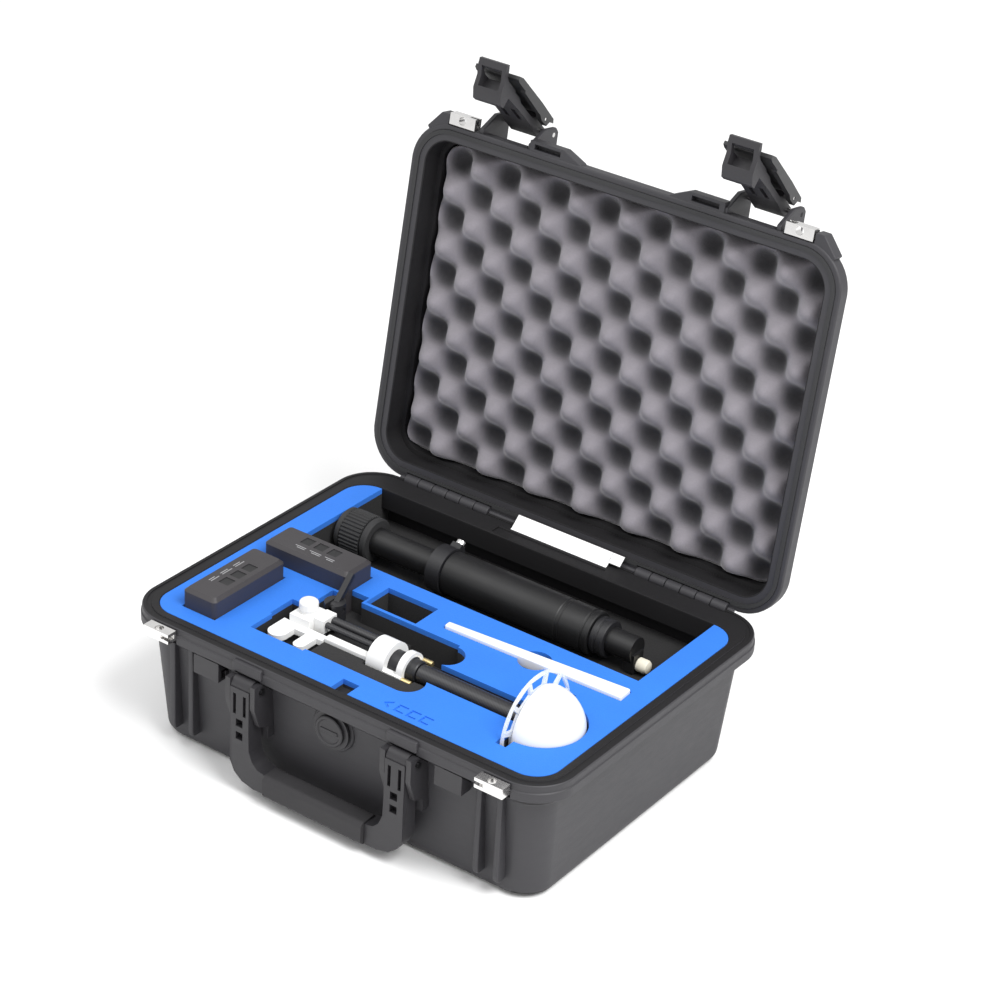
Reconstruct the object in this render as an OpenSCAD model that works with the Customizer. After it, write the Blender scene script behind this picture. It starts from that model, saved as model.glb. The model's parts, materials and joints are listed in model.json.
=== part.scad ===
// Hard carry case with fitted foam and a stowed kit: two battery packs, a telescopic mast,
// a boom with a domed head behind a round guard, and a tapered blade.
// Frame: origin under the middle of the base, +X right, +Y towards the hinge, +Z up.
// The lid is drawn open; closing it turns it about the hinge pins.

/* [Case] */
// Width of the rim, left to right
case_w = 420; // [400:1:440]
// Depth of the rim, front to hinge side
case_d = 318; // [310:1:330]
// Height of the base, floor to rim
base_h = 119; // [116:1:126]
// Height of the lid, rim to top
lid_h = 47; // [46:1:52]
// Angle between the closed and the open lid
open_angle = 99.4; // [80:0.1:105]
// Width of the rim's top face
rim_face = 15; // [14:0.5:16]
// Thickness of the shell walls
wall = 3.5; // [3:0.5:4]

/* [Hardware] */
// Distance from the middle to each latch
latch_x = 120; // [118:1:122]
// Width of a latch
latch_w = 44; // [40:1:46]
// How far a latch stands open
latch_open = 36; // [30:1:50]
// Distance from the middle to each handle arm
arm_x = 77; // [76:1:78]
// Diameter of the vent cap
vent_d = 35; // [30:1:38]

/* [Kit] */
// Length of a battery pack
pack_l = 88; // [84:1:90]
// Width of a battery pack
pack_w = 34; // [32:1:35]
// Height of a battery pack
pack_h = 52; // [48:1:54]
// Outer diameter of the mast's sleeve
sleeve_d = 38; // [36:1:40]
// Outer diameter of the mast's inner tube
tube_d = 24; // [22:1:25]
// Radius of the round guard
guard_r = 45; // [44:1:45]
// Radius of the dome
dome_r = 35; // [33:1:36]

/* [Hidden] */
$fn = 48;
eps = 0.01;
gap = 0.3;             // play between a loose piece and its pocket
run = 0.05;            // radial play of a running fit

// shell
rim_r = 38;            // plan radius of the rim's corners
band_h = 14;           // height of the rim's upright band
slope_h = 11;          // height of the slope under the band
step_in = 13;          // how far the wall stands in from the band
draft = 6;             // how far the wall leans in over its height
edge_r = 9;            // rounding of the bottom edges
rim_gap = 0.6;         // gap between the closed rims, filled by the gasket
floor_t = 4;           // thickness of the floor
wall_x = case_w/2 - step_in;
wall_y = case_d/2 - step_in;
cav_r = rim_r - rim_face;
cav_x = case_w/2 - rim_face;
cav_y = case_d/2 - rim_face;
rear_ledge = 13;       // the rear of the rim is this much wider
slope_z = base_h - band_h - slope_h;  // foot of the slope
step_z = base_h - band_h - 5;  // the cavity widens above this height

// hinge
hinge_y = case_d/2;
hinge_z = base_h - 0.6;
knuckle_r = 5;
knuckle_l = 15;
pin_r = 1.8;
label_y = 134.5;        // front edge of the hinge label
label_d = 15;
hinge_groups = [-121, 121];
knuckles = 6;

// lid, drawn closed and then turned open
lid_z = base_h + rim_gap;
lid_top = base_h + lid_h;

// latches, in the closed lid's own place
pivot_y = -case_d/2 - 9;
pivot_z = base_h + 33;
latch_pin_r = 2;
trig_pin_r = 1.5;
plate_x = 164;         // middle of a padlock plate
plate_t = 9;
plate_hole_r = 3.6;
hook_reach = 66;       // pivot down to the hook's upper face
keeper_z = pivot_z - hook_reach + 0.6;
keeper_w = 26;
trig_y = -6;           // trigger pin, from the pivot
trig_z = -14;

// vent
vent_z = 84;

// handle
handle_y = -case_d/2 - 1;
handle_z = 98;
grip_z = 19.8;
handle_pin_r = 2.5;
boss_r = 7.5;
arm_hw = 9.5;          // half of an arm's width
boss_room = boss_r + 1.7; // the arm's corners swing inside this
grip_x = 50;           // half of the grip's length
lever_y = -52;
lever_z = 121;

// foam
foam_top_t = 5;
foam_z0 = floor_t + gap;
foam_z1 = base_h - 0.4;
foam_split = foam_z1 - foam_top_t;
shallow_z = base_h - 5.4;

// kit places
pack_a = [-155, -84];          // middle of pack A, long side front to back
pack_b = [-128, -10];          // middle of pack B, long side left to right
pack_z = base_h + 17 - pack_h;
mast_y = 77;
mast_z = 104;
mast_x0 = -169;
sleeve_x0 = -54;
collar_r = 20;
sleeve_x1 = 95;
tube_x1 = 4;           // the inner tube ends inside the sleeve
screw_x = sleeve_x0 - 9;
head_x = 143;
head_y = -76;
head_z = 113;
boom_z = head_z;
knob_z = boom_z + 12.3;  // underside of the knob
blade_l = 168;

// ---------- outlines ----------
module round_rect(x, y, r) {
    square([2*x, 2*(y - r)], center = true);
    square([2*(x - r), 2*y], center = true);
    for (sx = [-1, 1], sy = [-1, 1])
        translate([sx*(x - r), sy*(y - r)]) circle(r);
}
module round_slab(x, y, r, z0, z1) {
    translate([0, 0, z0]) linear_extrude(z1 - z0) round_rect(x, y, r);
}
module box(lo, hi) {
    translate(lo) cube([for (i = [0:2]) hi[i] - lo[i]]);
}
module tube_x(r, x0, x1, y, z) {
    translate([x0, y, z]) rotate([0, 90, 0]) cylinder(r = r, h = x1 - x0);
}
module side(s) {
    if (s > 0) children(); else mirror([1, 0, 0]) children();
}
// a tub with drafted walls and rounded far edges; it opens towards z_rim
module tub_body(z_rim, z_end, lean) {
    up = sign(z_rim - z_end);
    hull() {
        for (k = [0:4]) {
            inset = step_in + lean + edge_r*(1 - sin(90*k/4));
            translate([0, 0, z_end + up*edge_r*(1 - cos(90*k/4))]) linear_extrude(eps)
                round_rect(case_w/2 - inset, case_d/2 - inset, rim_r - step_in, $fn = 32);
        }
        translate([0, 0, z_rim - up*(band_h + slope_h)]) linear_extrude(eps)
            round_rect(wall_x, wall_y, rim_r - step_in, $fn = 32);
    }
}
// the drafted space inside a tub, or the foam that fills it when less is more than 0
module tub_space(z_low, z_high, lean, less) {
    hull() {
        translate([0, 0, z_low]) linear_extrude(eps)
            round_rect(wall_x - wall - lean - less, wall_y - wall - lean - less, 18, $fn = 32);
        translate([0, 0, z_high - eps]) linear_extrude(eps)
            round_rect(wall_x - wall - less, wall_y - wall - less, 20, $fn = 32);
    }
}
module flange(z_rim, up) {
    band_z = z_rim - up*band_h;
    translate([0, 0, min(z_rim, band_z)]) linear_extrude(band_h)
        round_rect(case_w/2, case_d/2, rim_r);
    hull() {
        translate([0, 0, band_z - eps/2]) linear_extrude(eps)
            round_rect(case_w/2, case_d/2, rim_r, $fn = 48);
        translate([0, 0, band_z - up*slope_h - eps/2]) linear_extrude(eps)
            round_rect(wall_x, wall_y, rim_r - step_in, $fn = 48);
    }
}

// ---------- hinge ----------
module knuckle_row(odd, grow, r) {
    for (g = hinge_groups, k = [0:knuckles - 1])
        if ((k % 2) == odd)
            tube_x(r, g + (k - knuckles/2)*knuckle_l + 0.3 - grow,
                   g + (k + 1 - knuckles/2)*knuckle_l - 0.3 + grow, hinge_y, hinge_z);
}
module pin_bores(r) {
    for (g = hinge_groups)
        tube_x(r, g - knuckles/2*knuckle_l - 3, g + knuckles/2*knuckle_l + 3, hinge_y, hinge_z);
}

// ---------- base ----------
module front_post(x0) {
    box([x0, -wall_y - 5, 16], [x0 + 5, -wall_y + 8, base_h - band_h - 6]);
    box([x0 + 19, -wall_y - 5, 16], [x0 + 24, -wall_y + 8, base_h - band_h - 6]);
}
// the base's mouth, less deep than the lid's because the rear rim is wider
module mouth(less, z0, z1) {
    translate([0, -rear_ledge/2, 0])
        round_slab(cav_x - less, cav_y - rear_ledge/2 - less, cav_r - less, z0, z1);
}
module base_shell() color([0.16, 0.16, 0.17]) {
    difference() {
        union() {
            tub_body(base_h, 0, draft);
            flange(base_h, 1);
            knuckle_row(0, 0, knuckle_r);
            for (s = [-1, 1]) side(s) front_post(141);
            for (s = [-1, 1]) side(s)
                box([62, -case_d/2 - 2.5, base_h - band_h + 1], [91, -case_d/2 + 4, base_h - 2]);
            translate([0, -wall_y + 4, vent_z]) rotate([90, 0, 0]) cylinder(r = vent_d/2 + 2.5, h = 5);
        }
        mouth(0, step_z, base_h + 1);
        tub_space(floor_t, step_z + eps, draft, 0);
        // relief for the lid's knuckles, and the pin bores
        knuckle_row(1, 0.3, knuckle_r + 0.7);
        pin_bores(pin_r + run);
        translate([0, -wall_y + 6, vent_z]) rotate([90, 0, 0]) cylinder(r = 7 + run, h = 9);
        // room in the slope for the vent and the handle's bosses
        translate([0, -wall_y - 1, vent_z]) rotate([90, 0, 0]) cylinder(r = vent_d/2 + 0.5, h = step_in);
        for (s = [-1, 1]) side(s)
            tube_x(boss_room, arm_x - 12.7, arm_x + 12.7, handle_y, handle_z);
        // recess for the hinge label
        box([-55.5, label_y - 0.5, base_h - 1.2], [55.5, label_y + label_d + 0.5, base_h + 1]);
        // seats for the padlock plates
        for (s = [-1, 1]) side(s)
            box([151, -case_d/2 - 1, base_h - band_h - eps], [177, -case_d/2 + 3, base_h - 9]);
        // gasket land on the rim
        translate([0, 0, base_h - 0.8]) linear_extrude(2) difference() {
            round_rect(case_w/2 - 4.5, case_d/2 - 4.5, rim_r - 4.5);
            round_rect(case_w/2 - 8.5, case_d/2 - 8.5, rim_r - 8.5);
        }
    }
}
module kit_pockets() {
    // battery pockets
    box([pack_a.x - pack_w/2 - gap, pack_a.y - pack_l/2 - gap, pack_z - gap],
        [pack_a.x + pack_w/2 + gap, pack_a.y + pack_l/2 + gap, base_h + 1]);
    box([pack_b.x - pack_l/2 - gap, pack_b.y - pack_w/2 - gap, pack_z - gap],
        [pack_b.x + pack_l/2 + gap, pack_b.y + pack_w/2 + gap, base_h + 1]);
    // empty square pocket
    box([-64, -27, 60], [-13, 3, base_h + 1]);
    // mast channel, open to the rear wall; the collar all but rests on its floor
    box([-171, 20, mast_z - collar_r - 0.5], [171, case_d, base_h + 1]);
    // shallow tray beside the boom, with its fork pocket and notches
    box([-62, -114, shallow_z], [34, -84, base_h + 1]);
    translate([34, -99, shallow_z]) cylinder(r = 15, h = 20);
    box([-110, -117, shallow_z - 12], [-56, -76, base_h + 1]);
    box([-6, -146, base_h - 8], [10, -128, base_h + 1]);
    // boom trench and lever gap
    box([-112, -90, boom_z - 24], [head_x - 6, -62, base_h + 1]);
    box([-96, -76, boom_z - 14], [-12, -30, base_h + 1]);
    box([-90, -31, boom_z - 14], [-66, -20, base_h + 1]);
    box([-14, -95, boom_z - 24], [34, -30, base_h + 1]);
    translate([34, -48, boom_z - 24]) cylinder(r = 15, h = 40);
    // head pocket
    tube_x(guard_r + 2, head_x - 7, head_x + 3, head_y, head_z);
    intersection() {
        translate([head_x + 3, head_y, head_z]) union() {
            sphere(r = dome_r + 1.5);
            cylinder(r = dome_r + 1.5, h = 10);
        }
        box([head_x, -case_d, 0], [case_w, case_d, base_h + 1]);
    }
    // blade slot and its finger notch
    translate([8, -13.5, base_h - 8]) rotate(blade_turn())
        linear_extrude(12) blade_outline(0.4);
    translate([92, -9, base_h - 10]) cylinder(r = 14, h = 20);
}
module base_foam_core() color([0.1, 0.1, 0.11]) difference() {
    union() {
        tub_space(foam_z0, step_z - gap, draft, gap);
        intersection() {
            round_slab(wall_x - wall - gap, wall_y - wall - gap, 19, step_z - gap - eps, foam_split);
            mouth(gap, 0, base_h);
        }
    }
    kit_pockets();
}
module base_foam_top() color([0.13, 0.45, 0.85]) difference() {
    mouth(gap, foam_split, foam_z1);
    kit_pockets();
}
module hinge_pins() color([0.75, 0.75, 0.77]) pin_bores(pin_r);
module hinge_label() color("white")
    box([-55, label_y, base_h - 1], [55, label_y + label_d, base_h - 0.2]);
module vent_body() color([0.14, 0.14, 0.15]) difference() {
    union() {
        translate([0, -wall_y - 1 - gap/2, vent_z]) rotate([90, 0, 0]) cylinder(r = vent_d/2, h = 3);
        translate([0, -wall_y + 4, vent_z]) rotate([90, 0, 0]) cylinder(r = 7, h = 5.2);
    }
    translate([0, -wall_y + 7, vent_z]) rotate([90, 0, 0]) cylinder(r = 3 + run, h = 20);
}
module vent_cap() color([0.2, 0.2, 0.21]) {
    translate([0, -wall_y - 4.4 - gap/2, vent_z]) rotate([90, 0, 0]) cylinder(r = vent_d/2 - 4, h = 2.4);
    translate([0, -wall_y + 4, vent_z]) rotate([90, 0, 0]) cylinder(r = 3, h = 9);
}

// ---------- front hardware ----------
module latch_keepers() color([0.15, 0.15, 0.16]) for (s = [-1, 1]) side(s) difference() {
    translate([latch_x - keeper_w/2, 0, 0]) rotate([90, 0, 90]) linear_extrude(keeper_w)
        polygon([[-wall_y - 0.2, keeper_z], [-case_d/2, keeper_z], [-case_d/2, base_h - band_h - 0.7],
                 [-wall_y - 0.2, slope_z - 0.5]]);
    box([latch_x - keeper_w/2 - 1, -wall_y - 9, keeper_z + 3], [latch_x - keeper_w/2 + 4, -wall_y - 4, keeper_z + 9]);
}
module padlock_plate(z0) {
    difference() {
        box([plate_x - 13, -case_d/2 - 10, z0], [plate_x + 13, -case_d/2 - 0.2, z0 + plate_t]);
        translate([plate_x, -case_d/2 - 5.5, z0 - 1]) cylinder(r = plate_hole_r, h = plate_t + 2);
        box([plate_x - 14, -case_d/2 - 10.1, z0 + 3], [plate_x - 5, -case_d/2 - 3, z0 + plate_t - 3]);
    }
}
module padlock_plate_left() color("silver") side(-1) padlock_plate(base_h - 1 - plate_t);
module padlock_plate_right() color("silver") side(1) padlock_plate(base_h - 1 - plate_t);
module handle_bracket() {
    difference() {
        union() {
            box([arm_x - 15, -wall_y - 5, 50], [arm_x + 15, -wall_y - 0.2, slope_z - 0.6]);
            for (dx = [-15, arm_hw + 0.6])
                translate([arm_x + dx, 0, 0]) rotate([90, 0, 90]) linear_extrude(14.4 - arm_hw)
                    polygon([[-wall_y + 2.9, 50], [-wall_y - 5, 50], [-wall_y - 5, 61],
                             [-wall_y - 16, 66], [handle_y - 8, handle_z - 14],
                             [handle_y - 8, base_h - band_h - 0.6], [-case_d/2 - 0.2, base_h - band_h - 0.6],
                             [-wall_y - 0.2, slope_z - 0.6]]);
        }
        tube_x(handle_pin_r + run, arm_x - 20, arm_x + 20, handle_y, handle_z);
    }
}
module handle_bracket_left() color([0.17, 0.17, 0.18]) side(-1) handle_bracket();
module handle_bracket_right() color([0.17, 0.17, 0.18]) side(1) handle_bracket();
module handle_pins() color("silver") for (s = [-1, 1]) side(s)
    tube_x(handle_pin_r, arm_x - 17, arm_x + 17, handle_y, handle_z);
module handle_arm() {
    difference() {
        union() {
            tube_x(boss_r, arm_x - arm_hw, arm_x + arm_hw, handle_y, handle_z);
            box([arm_x - arm_hw, handle_y - 8.5, 60 - eps], [arm_x + arm_hw, handle_y + 7.5, handle_z]);
            // the corner, swept in to meet the grip
            translate([0, handle_y + 7.5, 0]) rotate([90, 0, 0]) linear_extrude(16)
                polygon([[grip_x, 10.5], [62, 10], [74, 13], [82, 19.5], [arm_x + arm_hw, 29],
                         [arm_x + arm_hw, 60], [arm_x - arm_hw, 60], [67, 44], [63.5, 35], [58, 30],
                         [grip_x, 28.5]]);
        }
        tube_x(handle_pin_r + run, arm_x - 20, arm_x + 20, handle_y, handle_z);
        for (z = [51, 63])
            box([arm_x - 3.5, handle_y - 9, z], [arm_x + 3.5, handle_y - 3, z + 7]);
        for (dx = [-6.5, 3.5])
            box([arm_x + dx, handle_y - 9, 74], [arm_x + dx + 3, handle_y - 4, 93]);
    }
}
module handle_frame() color([0.17, 0.17, 0.18]) {
    for (s = [-1, 1]) side(s) handle_arm();
    box([-grip_x - eps, handle_y - 5, grip_z - 6], [grip_x + eps, handle_y + 4, grip_z + 6]);
}
module handle_grip() color([0.13, 0.13, 0.14]) difference() {
    translate([-grip_x + gap, handle_y - 2.5, grip_z]) rotate([90, 0, 90]) linear_extrude(2*grip_x - 2*gap)
        round_rect(10, 10.3, 5);
    box([-60, handle_y - 5.2, grip_z - 6.2], [60, handle_y + 4.2, grip_z + 6.2]);
}

// ---------- lid ----------
module opened() {
    translate([0, hinge_y, hinge_z]) rotate([-open_angle, 0, 0])
        translate([0, -hinge_y, -hinge_z]) children();
}
module latch_lugs() {
    for (dx = [-latch_w/2 - 5, latch_w/2 + 0.6])
        translate([latch_x + dx, 0, 0]) rotate([90, 0, 90]) linear_extrude(4.4)
            polygon([[-wall_y + 3, lid_z + 4], [-case_d/2 - 4, lid_z + 2], [pivot_y - 6, pivot_z - 12],
                     [pivot_y - 6, pivot_z + 3], [pivot_y - 2, pivot_z + 7], [-wall_y + 4, pivot_z + 8]]);
}
module lid_shell() color([0.16, 0.16, 0.17]) opened() {
    difference() {
        union() {
            tub_body(lid_z, lid_top, 3);
            flange(lid_z, -1);
            knuckle_row(1, 0, knuckle_r);
            for (s = [-1, 1]) side(s) {
                latch_lugs();
                // stacking lug, tapered away from the latch, and the boss beside the padlock plate
                difference() {
                    translate([0, 0, lid_z + 1]) linear_extrude(10)
                        polygon([[42, -case_d/2 + 2], [44, -case_d/2 - 1], [61, -case_d/2 - 8.5],
                                 [95, -case_d/2 - 8.5], [95, -case_d/2 + 2]]);
                    box([64, -case_d/2 - 6, lid_z - 1], [90, -case_d/2 - 1.5, lid_z + 7]);
                }
                translate([0, 0, lid_z + 1]) linear_extrude(12)
                    polygon([[plate_x + 14, -case_d/2 + 3], [plate_x + 14, -case_d/2 - 8],
                             [plate_x + 22, -case_d/2 - 8], [199, -152], [195, -147]]);
            }
        }
        round_slab(cav_x, cav_y, cav_r, lid_z - 1, lid_z + 20);
        tub_space(lid_z + 20 - eps, lid_top - wall, 0, 3);
        knuckle_row(0, 0.3, knuckle_r + 0.7);
        pin_bores(pin_r + run);
        for (s = [-1, 1]) side(s)
            tube_x(latch_pin_r + run, latch_x - 40, latch_x + 40, pivot_y, pivot_z);
        // groove for the gasket
        gasket_ring(lid_z - 2, lid_z + 1.2, 0);
        for (s = [-1, 1]) side(s)
            box([plate_x - 14, -case_d/2 - 1, lid_z - 1], [plate_x + 14, -case_d/2 + 1, lid_z + 10]);
    }
}
module gasket_ring(z0, z1, less) {
    translate([0, 0, z0]) linear_extrude(z1 - z0) difference() {
        round_rect(case_w/2 - 4.5 - less, case_d/2 - 4.5 - less, rim_r - 4.5 - less);
        round_rect(case_w/2 - 8.5 + less, case_d/2 - 8.5 + less, rim_r - 8.5 + less);
    }
}
module lid_gasket() color([0.08, 0.08, 0.08]) opened() difference() {
    gasket_ring(lid_z - 0.9, lid_z + 1.1, 0.2);
    for (g = hinge_groups)
        tube_x(knuckle_r + 1, g - knuckles/2*knuckle_l - 1, g + knuckles/2*knuckle_l + 1, hinge_y, hinge_z);
}
module lid_foam() color([0.35, 0.34, 0.37]) opened() difference() {
    intersection() {
        tub_space(lid_z + 20 - eps, lid_top - wall, 0, 3 + gap);
        box([-case_w, -case_d, lid_top - wall - gap - 11], [case_w, case_d, lid_top - wall - gap]);
    }
    // pressed-in places above the head, the lever and the knob
    box([126, -126, 0], [184, -26, case_w]);
}
module lid_plate_left() color("silver") opened() side(-1) padlock_plate(lid_z + 0.6);
module lid_plate_right() color("silver") opened() side(1) padlock_plate(lid_z + 0.6);

// ---------- latches, drawn hanging from the pivot and then turned open ----------
module at_latch(s) {
    opened() side(s) translate([latch_x, pivot_y, pivot_z]) rotate([-latch_open, 0, 0]) children();
}
module latch_pin_left() color("silver") at_latch(-1) latch_pin();
module latch_pin_right() color("silver") at_latch(1) latch_pin();
module latch_pin() tube_x(latch_pin_r, -latch_w/2 - 5, latch_w/2 + 5, 0, 0);
module latch_hook() {
    difference() {
        translate([-14, 0, 0]) rotate([90, 0, 90]) linear_extrude(28)
            polygon([[-4, 4], [3, 5], [6, 1], [6, -8], [4.5, -20], [4.5, -44], [5.5, -hook_reach],
                     [15, -hook_reach], [15.5, -hook_reach - 5], [9, -hook_reach - 12], [-1, -81.5],
                     [-7, -87], [-12.5, -89.5], [-14.5, -87], [-10.5, -83.5], [-6, -81], [-4.5, -77],
                     [-4.5, -62], [-3.2, -61], [-3.2, -52], [-1, -46], [-1, -22], [-3.2, -18], [-8, -17],
                     [-8, -10], [-4, -8]]);
        tube_x(latch_pin_r + run, -30, 30, 0, 0);
        tube_x(trig_pin_r + run, -30, 30, trig_y, trig_z);
        for (dx = [-8, 4]) box([dx, 1, -42], [dx + 4, 10, -24]);
        box([-10, -7.5, -92], [10, 7, -70]);
    }
}
module latch_hook_left() color([0.14, 0.14, 0.15]) at_latch(-1) latch_hook();
module latch_hook_right() color([0.14, 0.14, 0.15]) at_latch(1) latch_hook();
module latch_trigger() {
    difference() {
        union() {
            translate([-latch_w/2, 0, 0]) rotate([90, 0, 90]) linear_extrude(latch_w)
                polygon([[-12, -4], [-9, -1], [-8.6, -20], [-7.2, -50], [-7, -74], [-8, -77.5], [-11, -78],
                         [-12.8, -72], [-13, -30]]);
            for (dx = [-latch_w/2, latch_w/2 - 5])
                translate([dx, 0, 0]) rotate([90, 0, 90]) linear_extrude(5)
                    polygon([[-9, -6], [-2, -9], [-2, -19], [-4, -24], [-5.5, -60], [-9, -62]]);
        }
        tube_x(trig_pin_r + run, -30, 30, trig_y, trig_z);
    }
}
module latch_trigger_left() color([0.3, 0.3, 0.31]) at_latch(-1) latch_trigger();
module latch_trigger_right() color([0.3, 0.3, 0.31]) at_latch(1) latch_trigger();
module trigger_pin() tube_x(trig_pin_r, -latch_w/2 + 0.5, latch_w/2 - 0.5, trig_y, trig_z);
module trigger_pin_left() color("silver") at_latch(-1) trigger_pin();
module trigger_pin_right() color("silver") at_latch(1) trigger_pin();

// ---------- battery packs ----------
module pack_outline() round_rect(pack_w/2, pack_l/2, 4);
module pack_marks(z0, z1) {
    for (k = [-1:1])
        translate([4, 14*k, 0]) box([-5, -5, z0], [5, 5, z1]);
}
module pack_case() difference() {
    union() {
        linear_extrude(pack_h - 3) pack_outline();
        hull() {
            translate([0, 0, pack_h - 3]) linear_extrude(eps) round_rect(pack_w/2, pack_l/2, 4, $fn = 32);
            translate([0, 0, pack_h - eps]) linear_extrude(eps)
                round_rect(pack_w/2 - 3, pack_l/2 - 3, 3, $fn = 32);
        }
    }
    pack_marks(pack_h - 1.2, pack_h + 1);
}
module pack_contacts() pack_marks(pack_h - 1.2, pack_h - 0.5);
module place_a() translate([pack_a.x, pack_a.y, pack_z]) children();
module place_b() translate([pack_b.x, pack_b.y, pack_z]) rotate(90) children();
module pack_a_case() color([0.28, 0.27, 0.28]) place_a() pack_case();
module pack_a_contacts() color([0.05, 0.05, 0.05]) place_a() pack_contacts();
module pack_b_case() color([0.28, 0.27, 0.28]) place_b() pack_case();
module pack_b_contacts() color([0.05, 0.05, 0.05]) place_b() pack_contacts();

// ---------- telescopic mast ----------
module mast_part(r, x0, x1) tube_x(r, x0, x1, mast_y, mast_z);
module mast_tube() color([0.1, 0.1, 0.1]) mast_part(tube_d/2, mast_x0, tube_x1);
module mast_collar() color([0.13, 0.13, 0.13]) difference() {
    mast_part(collar_r, mast_x0 + 2, -133);
    mast_part(tube_d/2 + run, mast_x0 - 1, 0);
    for (k = [0:23])
        translate([0, mast_y, mast_z]) rotate([15*k, 0, 0])
            tube_x(1.2, mast_x0 + 6, -139, 0, collar_r + 0.2);
}
module mast_sleeve() color([0.12, 0.12, 0.12]) difference() {
    mast_part(sleeve_d/2, sleeve_x0, sleeve_x1);
    mast_part(tube_d/2 + run, sleeve_x0 - 1, 66);
}
module mast_clamp_boss() color([0.14, 0.14, 0.14]) difference() {
    union() {
        mast_part(sleeve_d/2 + 1.5, sleeve_x0 - 14, sleeve_x0 - 0.1);
        translate([screw_x, mast_y, mast_z]) rotate([30, 0, 0]) box([-5, 17, -5], [5, 25, 5]);
    }
    mast_part(tube_d/2 + run, sleeve_x0 - 20, 0);
    translate([screw_x, mast_y, mast_z]) rotate([30, 0, 0])
        rotate([-90, 0, 0]) translate([0, 0, 13.5]) cylinder(r = 2 + run, h = 20);
}
module mast_clamp_screw() color("silver")
    translate([screw_x, mast_y, mast_z]) rotate([30, 0, 0]) rotate([-90, 0, 0]) {
        translate([0, 0, 16]) cylinder(r = 2, h = 11);
        translate([0, 0, 25.3]) cylinder(r = 4.5, h = 4);
    }
module mast_end_ring() color([0.16, 0.16, 0.16]) mast_part(16, sleeve_x1 + 0.1, sleeve_x1 + 13);
module mast_end_fitting() color([0.1, 0.1, 0.1]) {
    mast_part(11, sleeve_x1 + 13.1, sleeve_x1 + 38);
    box([sleeve_x1 + 30, mast_y - 7, mast_z - 19], [sleeve_x1 + 40, mast_y + 7, mast_z - 2]);
}
module mast_tip() color([0.85, 0.8, 0.7])
    tube_x(6, sleeve_x1 + 40.1, sleeve_x1 + 51, mast_y, mast_z - 12);

// ---------- boom ----------
module boom_bracket() color("white") difference() {
    union() {
        for (prong = [[-93.5, -102, 8.5], [-68, -106, 5.5]]) {
            box([prong[0] - prong[2], prong[1], boom_z - 3], [prong[0] + prong[2], -91, boom_z + 2]);
            translate([prong[0], prong[1], boom_z - 3]) cylinder(r = prong[2], h = 5);
        }
        box([-102, -92, boom_z - 3], [-57, -84, boom_z + 2]);
        box([-96, -85, boom_z - 9], [-76, -62, boom_z + 9]);
        box([-76 - eps, -79, boom_z - 2], [-66, -62, boom_z + 10]);
        translate([-86, -73, boom_z + 9 - eps]) cylinder(r = 6.5, h = knob_z - boom_z - 9.3);
    }
    translate([-86, -73, boom_z - 20]) cylinder(r = 3 + run, h = 50);
}
module boom_spars() color([0.15, 0.15, 0.16]) {
    tube_x(3.8, -65.9, -12.1, -66, boom_z + 5);
    tube_x(2.6, -65.9, -12.1, -75, boom_z + 5.5);
}
module boom_rail() color("white") box([-56.9, -89.7, boom_z - 1.5], [-12.1, -82.2, boom_z + 4.5]);
module boom_knob() color("white") translate([-86, -73, knob_z]) {
    translate([0, 0, -16]) cylinder(r = 3, h = 17);
    cylinder(r = 8, h = 6);
    translate([0, 0, 6 - eps]) cylinder(r1 = 8, r2 = 5.5, h = 2.5);
}
module boom_lever_pivot() color([0.07, 0.07, 0.07]) difference() {
    union() {
        translate([-76, -52, boom_z - 9]) cylinder(r = 9, h = 22);
        box([-80, -62 + eps, boom_z - 6], [-72, -50, boom_z + 2]);
    }
    box([-79.2, -64, boom_z + 3], [-72.8, -40, boom_z + 20]);
    tube_x(2 + run, -90, -60, lever_y, lever_z);
}
module boom_lever() color([0.07, 0.07, 0.07]) translate([0, lever_y, lever_z]) {
    tube_x(2, -84, -68, 0, 0);
    tube_x(4.2, -78.9, -73.1, 0, 0);
    rotate([-45, 0, 0]) box([-78.6, -2, 3], [-73.4, 2, 30]);
}
module boom_collar() color("white") difference() {
    union() {
        boom_part(17, -12, 5);
        boom_part(14.5, 16, 22);
        box([-12, head_y - 17, boom_z - 8], [22, head_y - 11, boom_z]);
        box([-12, head_y + 10, boom_z - 6], [22, head_y + 15, boom_z]);
    }
    boom_part(11, -13, 23);
}
module boom_part(r, x0, x1) tube_x(r, x0, x1, head_y, boom_z);
module boom_motor() color([0.1, 0.1, 0.1]) {
    boom_part(10.9, -11, 24);
    boom_part(10.9, 24 - eps, 30);
}
module boom_screws() color("goldenrod") {
    tube_x(2.6, 22.1, 31, head_y - 14, boom_z - 3);
    tube_x(2.6, 22.1, 31, head_y + 14, boom_z + 2);
}
module boom_tube() color([0.1, 0.1, 0.11]) {
    boom_part(8, 30.1, head_x - 12);
    boom_part(5, head_x - 12 - eps, head_x - 7.5);
}
module head_hub() color([0.85, 0.85, 0.85]) difference() {
    boom_part(12, head_x - 11.7, head_x - 4.1);
    boom_part(5 + run, head_x - 12, head_x - 7);
}
module head_guard() color([0.9, 0.92, 0.92, 0.6]) difference() {
    boom_part(guard_r, head_x - 4, head_x - 1.5);
    for (k = [0:11]) translate([head_x - 5, head_y, boom_z]) rotate([30*k, 0, 0])
        rotate([0, 90, 0]) linear_extrude(6)
            polygon([[guard_r - 2.8, -9.5], [guard_r - 2.8, 9.5], [guard_r - 12, 6.5], [guard_r - 12, -6.5]]);
}
module head_dome() color("white") translate([head_x + 3, head_y, boom_z]) rotate([0, 90, 0])
    rotate_extrude($fn = 64) intersection() {
        circle(dome_r, $fn = 64);
        translate([0, -4.4]) square([dome_r + 1, dome_r + 5]);
    }

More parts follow.
